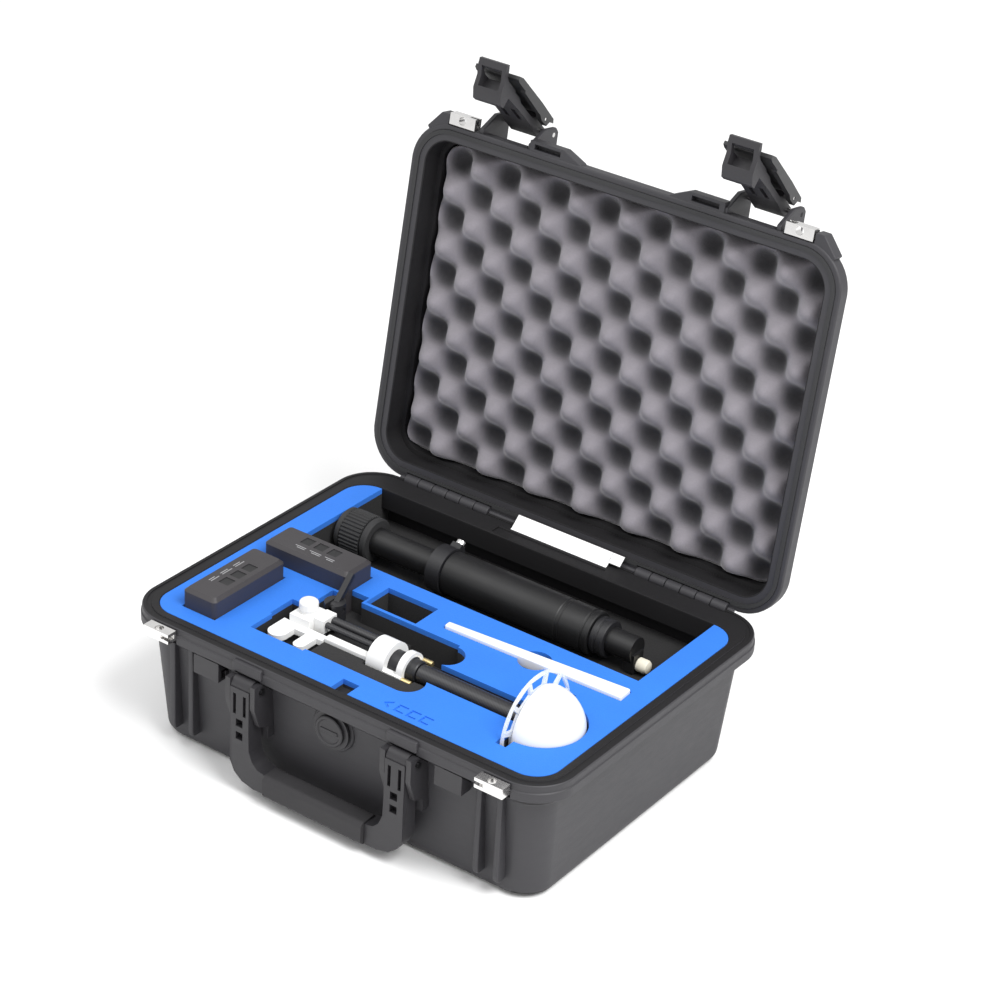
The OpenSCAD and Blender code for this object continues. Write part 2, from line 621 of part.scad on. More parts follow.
// ---------- blade ----------
function blade_turn() = atan2(8.5, 167);
module blade_outline(grow) polygon([[-grow, -3.5 - grow], [blade_l + grow, -7.6 - grow],
                                    [blade_l + grow, 7.6 + grow], [-grow, 3.5 + grow]]);
module blade() color("white") translate([8, -13.5, base_h - 7.6]) rotate(blade_turn())
    linear_extrude(10.4) blade_outline(0);

base_shell();
base_foam_core();
base_foam_top();
hinge_pins();
hinge_label();
vent_body();
vent_cap();
latch_keepers();
padlock_plate_left();
padlock_plate_right();
handle_bracket_left();
handle_bracket_right();
handle_pins();
handle_frame();
handle_grip();
lid_shell();
lid_foam();
lid_gasket();
lid_plate_left();
lid_plate_right();
latch_pin_left();
latch_pin_right();
latch_hook_left();
latch_hook_right();
latch_trigger_left();
latch_trigger_right();
trigger_pin_left();
trigger_pin_right();
pack_a_case();
pack_a_contacts();
pack_b_case();
pack_b_contacts();
mast_tube();
mast_sleeve();
mast_clamp_boss();
mast_clamp_screw();
mast_collar();
mast_end_ring();
mast_end_fitting();
mast_tip();
boom_bracket();
boom_spars();
boom_rail();
boom_knob();
boom_lever();
boom_lever_pivot();
boom_collar();
boom_motor();
boom_screws();
boom_tube();
head_hub();
head_guard();
head_dome();
blade();
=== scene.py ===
"""Studio scene of an open hard case with fitted foam and a stowed field kit.

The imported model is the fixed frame. Each sub-assembly is a class that models its
pieces in millimetres, dresses them and hands them to the body they ride on.
"""
from __future__ import annotations

import json
import logging
import math
from dataclasses import dataclass
from enum import Enum
from typing import Callable, Iterable, Sequence, Union

import bmesh
import bpy
from mathutils import Matrix, Vector

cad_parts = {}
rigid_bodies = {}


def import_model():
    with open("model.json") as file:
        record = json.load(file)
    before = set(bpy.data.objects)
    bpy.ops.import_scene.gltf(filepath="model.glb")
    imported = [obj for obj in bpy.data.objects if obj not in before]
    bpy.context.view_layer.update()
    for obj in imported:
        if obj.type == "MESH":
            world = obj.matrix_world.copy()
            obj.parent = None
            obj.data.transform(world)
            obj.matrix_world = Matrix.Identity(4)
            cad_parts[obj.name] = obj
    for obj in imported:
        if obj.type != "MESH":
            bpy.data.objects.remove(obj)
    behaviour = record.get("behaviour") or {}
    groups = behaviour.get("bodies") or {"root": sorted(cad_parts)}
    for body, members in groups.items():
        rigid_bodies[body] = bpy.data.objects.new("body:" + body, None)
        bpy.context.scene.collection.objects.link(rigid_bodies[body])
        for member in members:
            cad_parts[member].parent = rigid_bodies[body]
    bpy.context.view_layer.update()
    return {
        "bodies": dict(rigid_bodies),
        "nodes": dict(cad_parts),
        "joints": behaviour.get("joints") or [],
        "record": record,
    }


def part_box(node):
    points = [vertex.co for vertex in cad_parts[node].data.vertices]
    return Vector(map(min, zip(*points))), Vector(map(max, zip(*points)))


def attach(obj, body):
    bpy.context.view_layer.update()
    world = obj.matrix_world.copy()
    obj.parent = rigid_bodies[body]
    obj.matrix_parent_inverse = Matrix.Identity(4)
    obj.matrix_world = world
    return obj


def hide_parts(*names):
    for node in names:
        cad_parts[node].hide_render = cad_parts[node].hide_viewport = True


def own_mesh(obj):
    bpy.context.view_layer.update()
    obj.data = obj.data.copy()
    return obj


LOG = logging.getLogger("case")
METRES = 0.001
Colour = tuple[float, float, float]
Point = tuple[float, float, float]
Flat = tuple[float, float]
Section = tuple[float, float, float, float]


# ---------------------------------------------------------------- shader maths


class Value:
    """A node's output socket that takes part in arithmetic."""

    def __init__(self, graph: "Graph", socket: bpy.types.NodeSocket) -> None:
        """Wraps a socket of a graph."""
        self.graph = graph
        self.socket = socket

    def _math(self, operation: str, left: "Number", right: "Number") -> "Value":
        """Adds one Math node."""
        return self.graph.node("ShaderNodeMath", {"operation": operation}, {0: left, 1: right})

    def __add__(self, other: "Number") -> "Value":
        """Adds a number or a value."""
        return self._math("ADD", self, other)

    def __rsub__(self, other: "Number") -> "Value":
        """Takes this value away from a number."""
        return self._math("SUBTRACT", other, self)

    def __mul__(self, other: "Number") -> "Value":
        """Multiplies by a number or a value."""
        return self._math("MULTIPLY", self, other)

    __radd__ = __add__
    __rmul__ = __mul__


Number = Union[float, Value]


class Graph:
    """The node tree of one material, built around a single Principled shader."""

    def __init__(self, name: str) -> None:
        """Starts an empty material.

        Args:
            name: The material's name.
        """
        self.material = bpy.data.materials.new(name)
        self.material.use_nodes = True
        self.tree = self.material.node_tree
        self.shader = self.tree.nodes["Principled BSDF"]

    def node(self, kind: str, settings: dict | None = None, inputs: dict | None = None,
             output: int | str = 0) -> Value:
        """Adds a node.

        Args:
            kind: The node's type.
            settings: Properties set first.
            inputs: Values or links of its sockets, by name or number.
            output: Which output to return.

        Returns:
            The chosen output.
        """
        made = self.tree.nodes.new(kind)
        for key, value in (settings or {}).items():
            setattr(made, key, value)
        for key, value in (inputs or {}).items():
            if isinstance(value, Value):
                self.tree.links.new(value.socket, made.inputs[key])
            else:
                made.inputs[key].default_value = value
        return Value(self, made.outputs[output])

    def place(self, scale: Point = (1.0, 1.0, 1.0)) -> Value:
        """Object coordinates, scaled."""
        there = self.node("ShaderNodeTexCoord", output="Object")
        return self.node("ShaderNodeMapping", {}, {"Vector": there, "Scale": scale})

    def noise(self, where: Value, scale: float, detail: float = 2.0, rough: float = 0.5) -> Value:
        """Smooth noise around 0.5."""
        return self.node("ShaderNodeTexNoise", {},
                         {"Vector": where, "Scale": scale, "Detail": detail, "Roughness": rough})

    def mix(self, factor: Number, first: Colour | Value, second: Colour | Value) -> Value:
        """Mixes two colours."""
        sides = {key: value if isinstance(value, Value) else (*value, 1.0)
                 for key, value in ((6, first), (7, second))}
        return self.node("ShaderNodeMix", {"data_type": "RGBA"}, {0: factor, **sides}, output=2)

    def bump(self, height: Value, distance: float, strength: float = 1.0) -> None:
        """Feeds the shader's normal from a height in metres."""
        self.feed("Normal", self.node("ShaderNodeBump", {},
                                      {"Height": height, "Distance": distance, "Strength": strength}))

    def feed(self, socket: str, value: Number | Colour) -> None:
        """Sets or links one of the shader's sockets.

        Args:
            socket: The shader's socket.
            value: A plain number or colour, or a value that changes over the surface.
        """
        target = self.shader.inputs[socket]
        if isinstance(value, Value):
            self.tree.links.new(value.socket, target)
        elif isinstance(value, tuple):
            target.default_value = (*value, 1.0)
        else:
            target.default_value = value


# -------------------------------------------------------------------- finishes


@dataclass(frozen=True)
class Finish:
    """A surface finish, tied to one of the record's material slots."""

    name: str
    slot: str
    colour: Colour

    def dress(self, graph: Graph) -> None:
        """Builds the nodes; each finish has its own."""
        raise NotImplementedError

    def material(self) -> bpy.types.Material:
        """Makes the material, once.

        Returns:
            The material.
        """
        known = bpy.data.materials.get(self.name)
        if known:
            return known
        graph = Graph(self.name)
        self.dress(graph)
        return graph.material


def tinted(colour: Colour, by: float) -> Colour:
    """A lighter or darker version of a colour."""
    return tuple(min(1.0, part * by) for part in colour)


@dataclass(frozen=True)
class MouldedPlastic(Finish):
    """Injection-moulded plastic with a spark-eroded grain and light scuffing."""

    roughness: float = 0.5
    grain: float = 0.00010
    grain_scale: float = 900.0
    gloss: float = 0.5

    def dress(self, graph: Graph) -> None:
        """Grain in the bump, slow colour drift, duller scuffed patches.

        Args:
            graph: The material's nodes.
        """
        where = graph.place()
        fine = graph.noise(where, self.grain_scale, 3.0, 0.6)
        drift = graph.noise(where, 14.0, 3.0)
        scuff = graph.noise(graph.place((1.0, 1.0, 4.0)), 60.0, 4.0, 0.7)
        mottled = graph.mix(drift, tinted(self.colour, 0.88), tinted(self.colour, 1.14))
        graph.feed("Base Color", graph.mix(fine * 0.35, mottled, tinted(self.colour, 1.35)))
        graph.feed("Roughness", self.roughness - 0.06 + scuff * 0.16 + fine * 0.05)
        graph.feed("Specular IOR Level", self.gloss)
        graph.bump(fine, self.grain, 0.8)


@dataclass(frozen=True)
class CellFoam(Finish):
    """Closed-cell foam sheet: matt, with tiny open cells along the cut skin."""

    cell_scale: float = 1100.0

    def dress(self, graph: Graph) -> None:
        """Cells in the bump and as fine speckle.

        Args:
            graph: The material's nodes.
        """
        where = graph.place()
        cells = graph.node("ShaderNodeTexVoronoi", {}, {"Vector": where, "Scale": self.cell_scale})
        cloud = graph.noise(where, 24.0, 3.0)
        fleck = graph.noise(where, 420.0, 2.0)
        body = graph.mix(cloud, tinted(self.colour, 0.90), tinted(self.colour, 1.10))
        graph.feed("Base Color", graph.mix(fleck * 0.30, body, tinted(self.colour, 0.72)))
        graph.feed("Roughness", 0.78 + cells * 0.15)
        graph.feed("Sheen Weight", 0.12)
        graph.bump(cells + fleck, 0.00012, 0.7)


@dataclass(frozen=True)
class BumpedFoam(Finish):
    """Open-cell convoluted foam, with painted shade darkening its hollows."""

    # Colour of the painted shade in the hollows.
    painted_hollow_shade: Colour = (0.05, 0.05, 0.055)

    def dress(self, graph: Graph) -> None:
        """Reads the pad's own depth attribute to paint shade into the hollows.

        Args:
            graph: The material's nodes.
        """
        where = graph.place()
        depth = graph.node("ShaderNodeAttribute", {"attribute_name": "depth"}, output="Fac")
        pores = graph.noise(where, 700.0, 3.0, 0.7)
        cloud = graph.noise(where, 30.0, 2.0)
        skin = graph.mix(cloud, tinted(self.colour, 0.92), tinted(self.colour, 1.08))
        # Painted shade: the skin blends towards the shade colour as the depth attribute rises.
        shade = graph.mix(depth, skin, self.painted_hollow_shade)
        graph.feed("Base Color", graph.mix(pores * 0.35, shade, tinted(self.colour, 0.45)))
        graph.feed("Roughness", 0.85 + pores * 0.12)
        graph.feed("Sheen Weight", 0.35)
        graph.feed("Sheen Roughness", 0.45)
        graph.bump(pores, 0.00035, 0.8)


@dataclass(frozen=True)
class Metal(Finish):
    """Bare or coated metal with a directional polish."""

    roughness: float = 0.25
    streak: Point = (1.0, 30.0, 30.0)

    def dress(self, graph: Graph) -> None:
        """Streaked roughness and small tarnish marks.

        Args:
            graph: The material's nodes.
        """
        lines = graph.noise(graph.place(self.streak), 90.0, 4.0, 0.6)
        marks = graph.noise(graph.place(), 120.0, 3.0)
        graph.feed("Base Color", graph.mix(marks * 0.6, self.colour, tinted(self.colour, 0.72)))
        graph.feed("Metallic", 1.0)
        graph.feed("Roughness", self.roughness - 0.05 + lines * 0.16)
        graph.bump(lines, 0.00003, 0.5)


@dataclass(frozen=True)
class SatinTube(Finish):
    """Black anodised or carbon tube with fine drawing lines along it."""

    roughness: float = 0.38
    weave: float = 0.0

    def dress(self, graph: Graph) -> None:
        """Drawing lines along X and, for carbon, a faint twill.

        Args:
            graph: The material's nodes.
        """
        lines = graph.noise(graph.place((3.0, 120.0, 120.0)), 12.0, 3.0)
        smudge = graph.noise(graph.place(), 40.0, 3.0, 0.6)
        twill = graph.node("ShaderNodeTexWave", {"wave_type": "BANDS", "bands_direction": "DIAGONAL"},
                           {"Vector": graph.place(), "Scale": 190.0, "Distortion": 0.4})
        drawn = graph.mix(lines * 0.5, self.colour, tinted(self.colour, 1.5))
        graph.feed("Base Color", graph.mix(twill * self.weave, drawn, tinted(self.colour, 2.4)))
        graph.feed("Roughness", self.roughness - 0.05 + smudge * 0.2)
        graph.feed("Coat Weight", 0.15)
        graph.feed("Coat Roughness", 0.3)
        graph.bump(lines + twill * self.weave, 0.00004, 0.6)


@dataclass(frozen=True)
class GlossPlastic(Finish):
    """Smooth white moulded plastic with a soft gloss."""

    roughness: float = 0.28
    glow: float = 0.08

    def dress(self, graph: Graph) -> None:
        """Slight orange peel, warm drift and finger marks.

        Args:
            graph: The material's nodes.
        """
        where = graph.place()
        peel = graph.noise(where, 260.0, 2.0)
        drift = graph.noise(where, 35.0, 3.0)
        graph.feed("Base Color", graph.mix(drift * 0.5, self.colour, tinted(self.colour, 0.93)))
        graph.feed("Roughness", self.roughness + drift * 0.12)
        graph.feed("Coat Weight", 0.3)
        graph.feed("Coat Roughness", 0.12)
        graph.feed("Subsurface Weight", self.glow)
        graph.bump(peel, 0.00003, 0.5)


@dataclass(frozen=True)
class ClearPlastic(Finish):
    """Clear moulded plastic, a little clouded."""

    def dress(self, graph: Graph) -> None:
        """Mostly see-through, with faint swirls in the gloss.

        Args:
            graph: The material's nodes.
        """
        swirl = graph.noise(graph.place(), 90.0, 3.0)
        graph.feed("Base Color", graph.mix(swirl * 0.5, self.colour, tinted(self.colour, 0.93)))
        graph.feed("Roughness", 0.08 + swirl * 0.08)
        graph.feed("Alpha", 0.52 + swirl * 0.2)
        graph.feed("Specular IOR Level", 0.9)
        graph.feed("IOR", 1.49)


@dataclass(frozen=True)
class Rubber(Finish):
    """Matt rubber with a fine stipple."""

    stipple: float = 0.00015

    def dress(self, graph: Graph) -> None:
        """Stipple in the bump, dusty drift in the colour.

        Args:
            graph: The material's nodes.
        """
        where = graph.place()
        dots = graph.node("ShaderNodeTexVoronoi", {}, {"Vector": where, "Scale": 650.0})
        dust = graph.noise(where, 50.0, 4.0, 0.65)
        graph.feed("Base Color", graph.mix(dust * 0.6, self.colour, tinted(self.colour, 1.5)))
        graph.feed("Roughness", 0.62 + dust * 0.2)
        graph.bump(1.0 - dots, self.stipple, 0.7)


class Finishes(Enum):
    """Every finish on the object."""

    SHELL = MouldedPlastic("shell_plastic", "case_shell", (0.029, 0.028, 0.032), 0.50, 0.00012)
    # A darker copy of the shell plastic: painted shade on the rim top and the faces inside the rim.
    RIM_PAINTED_SHADE = MouldedPlastic("rim_painted_shade_plastic", "case_shell", (0.011, 0.0105, 0.0115), 0.58, 0.00008, 1200.0, 0.3)
    TRIM = MouldedPlastic("trim_plastic", "case_trim", (0.022, 0.021, 0.024), 0.46, 0.00008, 1200.0)
    LEVER = MouldedPlastic("lever_plastic", "lever_grey", (0.022, 0.022, 0.023), 0.42, 0.00006, 1200.0)
    PACK = MouldedPlastic("pack_plastic", "pack_grey", (0.034, 0.031, 0.034), 0.46, 0.00006, 1300.0)
    PACK_DARK = MouldedPlastic("contact_plastic", "pack_dark", (0.012, 0.012, 0.013), 0.5, 0.00004)
    SMALL = MouldedPlastic("small_black_plastic", "case_trim", (0.014, 0.014, 0.016), 0.4, 0.00004)
    CORE = CellFoam("black_foam", "foam_core", (0.007, 0.0065, 0.007))
    BLUE = CellFoam("blue_foam", "foam_top", (0.013, 0.175, 0.72))
    # The egg foam's second colour is painted shade for its hollows.
    EGG = BumpedFoam("egg_foam", "lid_foam", (0.235, 0.22, 0.243), (0.033, 0.032, 0.036))
    PIN = Metal("blackened_steel", "steel", (0.060, 0.060, 0.062), 0.35)
    STEEL = Metal("polished_steel", "steel", (0.86, 0.85, 0.84), 0.16)
    BRASS = Metal("brass", "brass", (0.80, 0.66, 0.36), 0.25)
    MAST = SatinTube("anodised_tube", "mast_black", (0.0055, 0.0055, 0.006), 0.48)
    CARBON = SatinTube("carbon_tube", "carbon", (0.016, 0.016, 0.018), 0.30, 0.5)
    WHITE = GlossPlastic("white_plastic", "white_plastic", (0.86, 0.86, 0.86))
    LABEL = GlossPlastic("label_card", "label_white", (0.90, 0.90, 0.90), 0.4, 0.0)
    INK = GlossPlastic("pale_ink", "label_white", (0.30, 0.30, 0.31), 0.5, 0.0)
    CLEAR = ClearPlastic("clear_plastic", "clear_plastic", (0.90, 0.93, 0.95))
    RUBBER = Rubber("black_rubber", "rubber", (0.022, 0.022, 0.023))
    GRIP = Rubber("grip_rubber", "rubber", (0.022, 0.021, 0.023), 0.0001)
    CREAM = Rubber("cream_rubber", "cream", (0.72, 0.66, 0.55), 0.00005)


# ------------------------------------------------------------------- modelling


class Axis(Enum):
    """A direction along which a shape is drawn or spun."""

    X = 0
    Y = 1
    Z = 2

    @property
    def across(self) -> tuple[int, int]:
        """The two other directions, in order."""
        return ((1, 2), (0, 2), (0, 1))[self.value]

    @property
    def vector(self) -> Vector:
        """The direction as a unit vector."""
        return Vector([float(k == self.value) for k in range(3)])


class Shape:
    """A mesh under construction, in millimetres."""

    def __init__(self) -> None:
        """Starts empty."""
        self.bm = bmesh.new()

    @classmethod
    def of_node(cls, node: bpy.types.Object, flat: float = 0.7) -> "Shape":
        """A merged copy of a CAD node, with its flat faces made whole.

        Args:
            node: The CAD node's object.
            flat: Faces within this angle of each other, in degrees, become one.

        Returns:
            The shape.
        """
        shape = cls()
        shape.bm.from_mesh(node.data)
        for layer in list(shape.bm.loops.layers.uv):
            shape.bm.loops.layers.uv.remove(layer)
        bmesh.ops.scale(shape.bm, vec=(1000.0,) * 3, verts=shape.bm.verts)
        bmesh.ops.remove_doubles(shape.bm, verts=shape.bm.verts, dist=0.004)
        bmesh.ops.dissolve_limit(shape.bm, angle_limit=math.radians(flat),
                                 verts=shape.bm.verts, edges=shape.bm.edges)
        return shape

    def box(self, low: Point, high: Point, round_by: float = 0.0, segments: int = 3) -> "Shape":
        """Adds a box with rounded edges.

        Args:
            low: The lowest corner.
            high: The highest corner.
            round_by: Rounding of the edges.
            segments: Steps in it.

        Returns:
            This shape.
        """
        low_v, high_v = Vector(low), Vector(high)
        made = bmesh.ops.create_cube(self.bm, size=1.0, matrix=Matrix.Translation((low_v + high_v) / 2)
                                     @ Matrix.Diagonal((*(high_v - low_v), 1.0)))
        if round_by:
            edges = list({e for v in made["verts"] for e in v.link_edges})
            self._bevel(edges, round_by, segments)
        return self

    def prism(self, outline: Sequence[Flat], start: float, end: float, axis: Axis,
              round_by: float = 0.0, segments: int = 3) -> "Shape":
        """Adds an outline drawn out along an axis.

        Args:
            outline: Points across the axis.
            start: Where it starts along the axis.
            end: Where it ends.
            axis: The axis.
            round_by: Rounding of its edges.
            segments: Steps in the rounding.

        Returns:
            This shape.
        """
        first, second = axis.across
        corners = []
        for a, b in outline:
            place = [0.0, 0.0, 0.0]
            place[first], place[second], place[axis.value] = a, b, start
            corners.append(self.bm.verts.new(place))
        face = self.bm.faces.new(corners)
        grown = bmesh.ops.extrude_face_region(self.bm, geom=[face])["geom"]
        moved = [part for part in grown if isinstance(part, bmesh.types.BMVert)]
        bmesh.ops.translate(self.bm, vec=axis.vector * (end - start), verts=moved)
        if round_by:
            edges = list({e for v in corners + moved for e in v.link_edges})
            self._bevel(edges, round_by, segments)
        return self

    def lathe(self, profile: Sequence[Flat], centre: Point, axis: Axis = Axis.X,
              steps: int = 64) -> "Shape":
        """Adds a turned form.

        Args:
            profile: (place along the axis, radius) pairs, closed at both ends by radius 0.
            centre: A point on the axis.
            axis: The axis.
            steps: Steps around.

        Returns:
            This shape.
        """
        side = Vector([float(k == axis.across[0]) for k in range(3)])
        verts = [self.bm.verts.new(Vector(centre) + axis.vector * along + side * radius)
                 for along, radius in profile]
        edges = [self.bm.edges.new(pair) for pair in zip(verts, verts[1:])]
        bmesh.ops.spin(self.bm, geom=verts + edges, cent=centre, axis=axis.vector,
                       angle=math.tau, steps=steps, use_merge=True, use_duplicate=False)
        return self

    def stack(self, sections: Sequence[Section], steps: int = 12) -> "Shape":
        """Adds a skin through rounded rectangles, each drawn out from the one before.

        Args:
            sections: (half width, half depth, corner radius, height) of each.
            steps: Points in a corner.

        Returns:
            This shape.
        """
        half_x, half_y, radius, height = sections[0]
        half_step = math.pi / (4 * steps)
        made = bmesh.ops.create_circle(
            self.bm, cap_ends=False, segments=4 * steps, radius=radius / math.cos(half_step),
            matrix=Matrix.Translation((0, 0, height)) @ Matrix.Rotation(half_step, 4, "Z"))
        ring = made["verts"]
        edges = list({e for v in ring for e in v.link_edges})
        for verts, sx, sy in self._corners(ring):
            bmesh.ops.translate(self.bm, vec=(sx * (half_x - radius), sy * (half_y - radius), 0), verts=verts)
        bmesh.ops.contextual_create(self.bm, geom=edges)
        for x, y, r, z in sections[1:]:
            grown = bmesh.ops.extrude_edge_only(self.bm, edges=edges)["geom"]
            ring = [part for part in grown if isinstance(part, bmesh.types.BMVert)]
            inside = set(ring)
            edges = [e for e in grown if isinstance(e, bmesh.types.BMEdge)
                     and e.verts[0] in inside and e.verts[1] in inside]
            for verts, sx, sy in self._corners(ring):
                hub = Vector((sx * (half_x - radius), sy * (half_y - radius), height))
                bmesh.ops.scale(self.bm, vec=(r / radius, r / radius, 1.0),
                                space=Matrix.Translation(-hub), verts=verts)
                bmesh.ops.translate(self.bm, vec=Vector((sx * (x - r), sy * (y - r), z)) - hub, verts=verts)
            half_x, half_y, radius, height = x, y, r, z
        bmesh.ops.contextual_create(self.bm, geom=edges)
        return self

    @staticmethod
    def _corners(ring: Sequence[bmesh.types.BMVert]) -> list[tuple[list[bmesh.types.BMVert], int, int]]:
        """Sorts a ring's points into its four corners."""
        return [([v for v in ring if v.co.x * sx > 0 and v.co.y * sy > 0], sx, sy)
                for sx in (-1, 1) for sy in (-1, 1)]

    def _bevel(self, edges: list[bmesh.types.BMEdge], width: float, segments: int) -> None:
        """Rounds some edges."""
        bmesh.ops.bevel(self.bm, geom=edges, offset=width, offset_type="OFFSET", affect="EDGES",
                        segments=segments, profile=0.5, material=-1, clamp_overlap=True)

    def soften(self, width: float, segments: int = 2, angle: float = 32.0,
               only: Callable[[bmesh.types.BMEdge], bool] | None = None) -> "Shape":
        """Rounds every edge sharper than an angle.

        Args:
            width: How far the rounding reaches.
            segments: Steps in it.
            angle: The smallest angle, in degrees, that is rounded.
            only: Picks among those edges.

        Returns:
            This shape.
        """
        limit = math.radians(angle)
        edges = [e for e in self.bm.edges if len(e.link_faces) == 2
                 and e.calc_face_angle(0.0) > limit and (only is None or only(e))]
        self._bevel(edges, width, segments)
        return self

    def moved(self, matrix: Matrix) -> "Shape":
        """Turns or shifts the whole shape."""
        bmesh.ops.transform(self.bm, matrix=matrix, verts=self.bm.verts)
        return self

    def outward(self) -> "Shape":
        """Merges doubles and turns every face outwards."""
        bmesh.ops.remove_doubles(self.bm, verts=self.bm.verts, dist=0.0005)
        bmesh.ops.recalc_face_normals(self.bm, faces=self.bm.faces)
        return self

    def with_shapes(self, *others: "Shape") -> "Shape":
        """Takes in the shells of other shapes, which are used up."""
        for other in others:
            mesh = bpy.data.meshes.new("joined")
            other.bm.to_mesh(mesh)
            other.bm.free()
            self.bm.from_mesh(mesh)
            bpy.data.meshes.remove(mesh)
        return self

    def cut(self, tool: "Shape") -> "Shape":
        """Cuts another shape out of this one; the other is used up.

        Args:
            tool: The other shape.

        Returns:
            This shape.
        """
        holders = []
        for part in (self, tool):
            part.outward()
            mesh = bpy.data.meshes.new("work")
            part.bm.to_mesh(mesh)
            holder = bpy.data.objects.new("work", mesh)
            bpy.context.scene.collection.objects.link(holder)
            holders.append(holder)
        target, cutter = holders
        modifier = target.modifiers.new("cut", "BOOLEAN")
        modifier.operation, modifier.solver, modifier.object = "DIFFERENCE", "EXACT", cutter
        modifier.use_self = True
        result = bpy.data.meshes.new_from_object(
            target.evaluated_get(bpy.context.evaluated_depsgraph_get()))
        tool.bm.free()
        self.bm.clear()
        self.bm.from_mesh(result)
        for holder in holders:
            mesh = holder.data
            bpy.data.objects.remove(holder)
            bpy.data.meshes.remove(mesh)
        bpy.data.meshes.remove(result)
        bmesh.ops.remove_doubles(self.bm, verts=self.bm.verts, dist=0.002)
        bmesh.ops.dissolve_limit(self.bm, angle_limit=math.radians(0.2),
                                 verts=self.bm.verts, edges=self.bm.edges)
        return self


def rod(start: float, end: float, radius: float, round_by: float = 0.5) -> list[Flat]:
    """The lathe profile of a plain rod with rounded ends.

    Args:
        start: Where it starts along its axis.
        end: Where it ends.
        radius: Its radius.
        round_by: Rounding of its ends.

    Returns:
        Pairs of (place along the axis, radius).
    """
    return [(start, 0.0), (start, radius - round_by), (start + round_by, radius),
            (end - round_by, radius), (end, radius - round_by), (end, 0.0)]


class Shop:
    """The loaded frame, and what turns shapes into dressed pieces."""

    def __init__(self, frame: dict) -> None:
        """Keeps the frame and starts the count of pieces."""
        self.nodes: dict[str, bpy.types.Object] = frame["nodes"]
        self.body_of: dict[str, str] = {
            node: body for body, members in frame["record"]["behaviour"]["bodies"].items()
            for node in members}
        self.made = 0

    def copy(self, node: str) -> Shape:
        """A workable copy of a CAD node."""
        return Shape.of_node(self.nodes[node])

    def piece(self, shape: Shape, name: str, finish: Finishes, body: str,
              nodes: Iterable[str] = (), smooth: float = 34.0, even: bool = True,
              inside: Finishes | None = None) -> bpy.types.Object:
        """Turns a shape into a piece that rides on a body.

        Args:
            shape: The shape, which is used up.
            name: The piece's name.
            finish: Its finish.
            body: The body it rides on.
            nodes: CAD nodes that it stands for.
            smooth: Edges flatter than this, in degrees, shade smoothly.
            even: Weighs the shading by face size, for rounded edges on flat faces.
            inside: Finish of the faces that were marked with material number 1; the tub and lid use it for
                painted shade.

        Returns:
            The piece.
        """
        bm = shape.bm
        bmesh.ops.scale(bm, vec=(METRES,) * 3, verts=bm.verts)
        limit = math.radians(smooth)
        for face in bm.faces:
            face.smooth = True
        for edge in bm.edges:
            edge.smooth = len(edge.link_faces) == 2 and edge.calc_face_angle(0.0) < limit
        mesh = bpy.data.meshes.new(name)
        bm.to_mesh(mesh)
        bm.free()
        mesh.materials.append(finish.value.material())
        if inside:
            mesh.materials.append(inside.value.material())
        piece = bpy.data.objects.new(name, mesh)
        bpy.context.scene.collection.objects.link(piece)
        if even:
            weighted = piece.modifiers.new("even_shading", "WEIGHTED_NORMAL")
            weighted.keep_sharp = True
        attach(piece, body)
        if nodes:
            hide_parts(*nodes)
        self.made += 1
        LOG.info("%s: %d faces on %s", name, len(mesh.polygons), body)
        return piece

    def softened(self, node: str, finish: Finishes, width: float, segments: int = 2,
                 angle: float = 32.0) -> bpy.types.Object:
        """Replaces a CAD node by a copy with rounded edges."""
        shape = self.copy(node).soften(width, segments, angle)
        return self.piece(shape, f"{node}_finished", finish, self.body_of[node], [node])

    def dress(self, node: str, finish: Finishes) -> None:
        """Gives a CAD node that stays its finish.

        Args:
            node: The CAD node.
            finish: The finish.
        """
        part = self.nodes[node]
        material = finish.value.material()
        if part.material_slots:
            for holder in part.material_slots:
                holder.material = material
        else:
            part.data.materials.append(material)
        LOG.info("%s: CAD node, %s", node, finish.value.name)


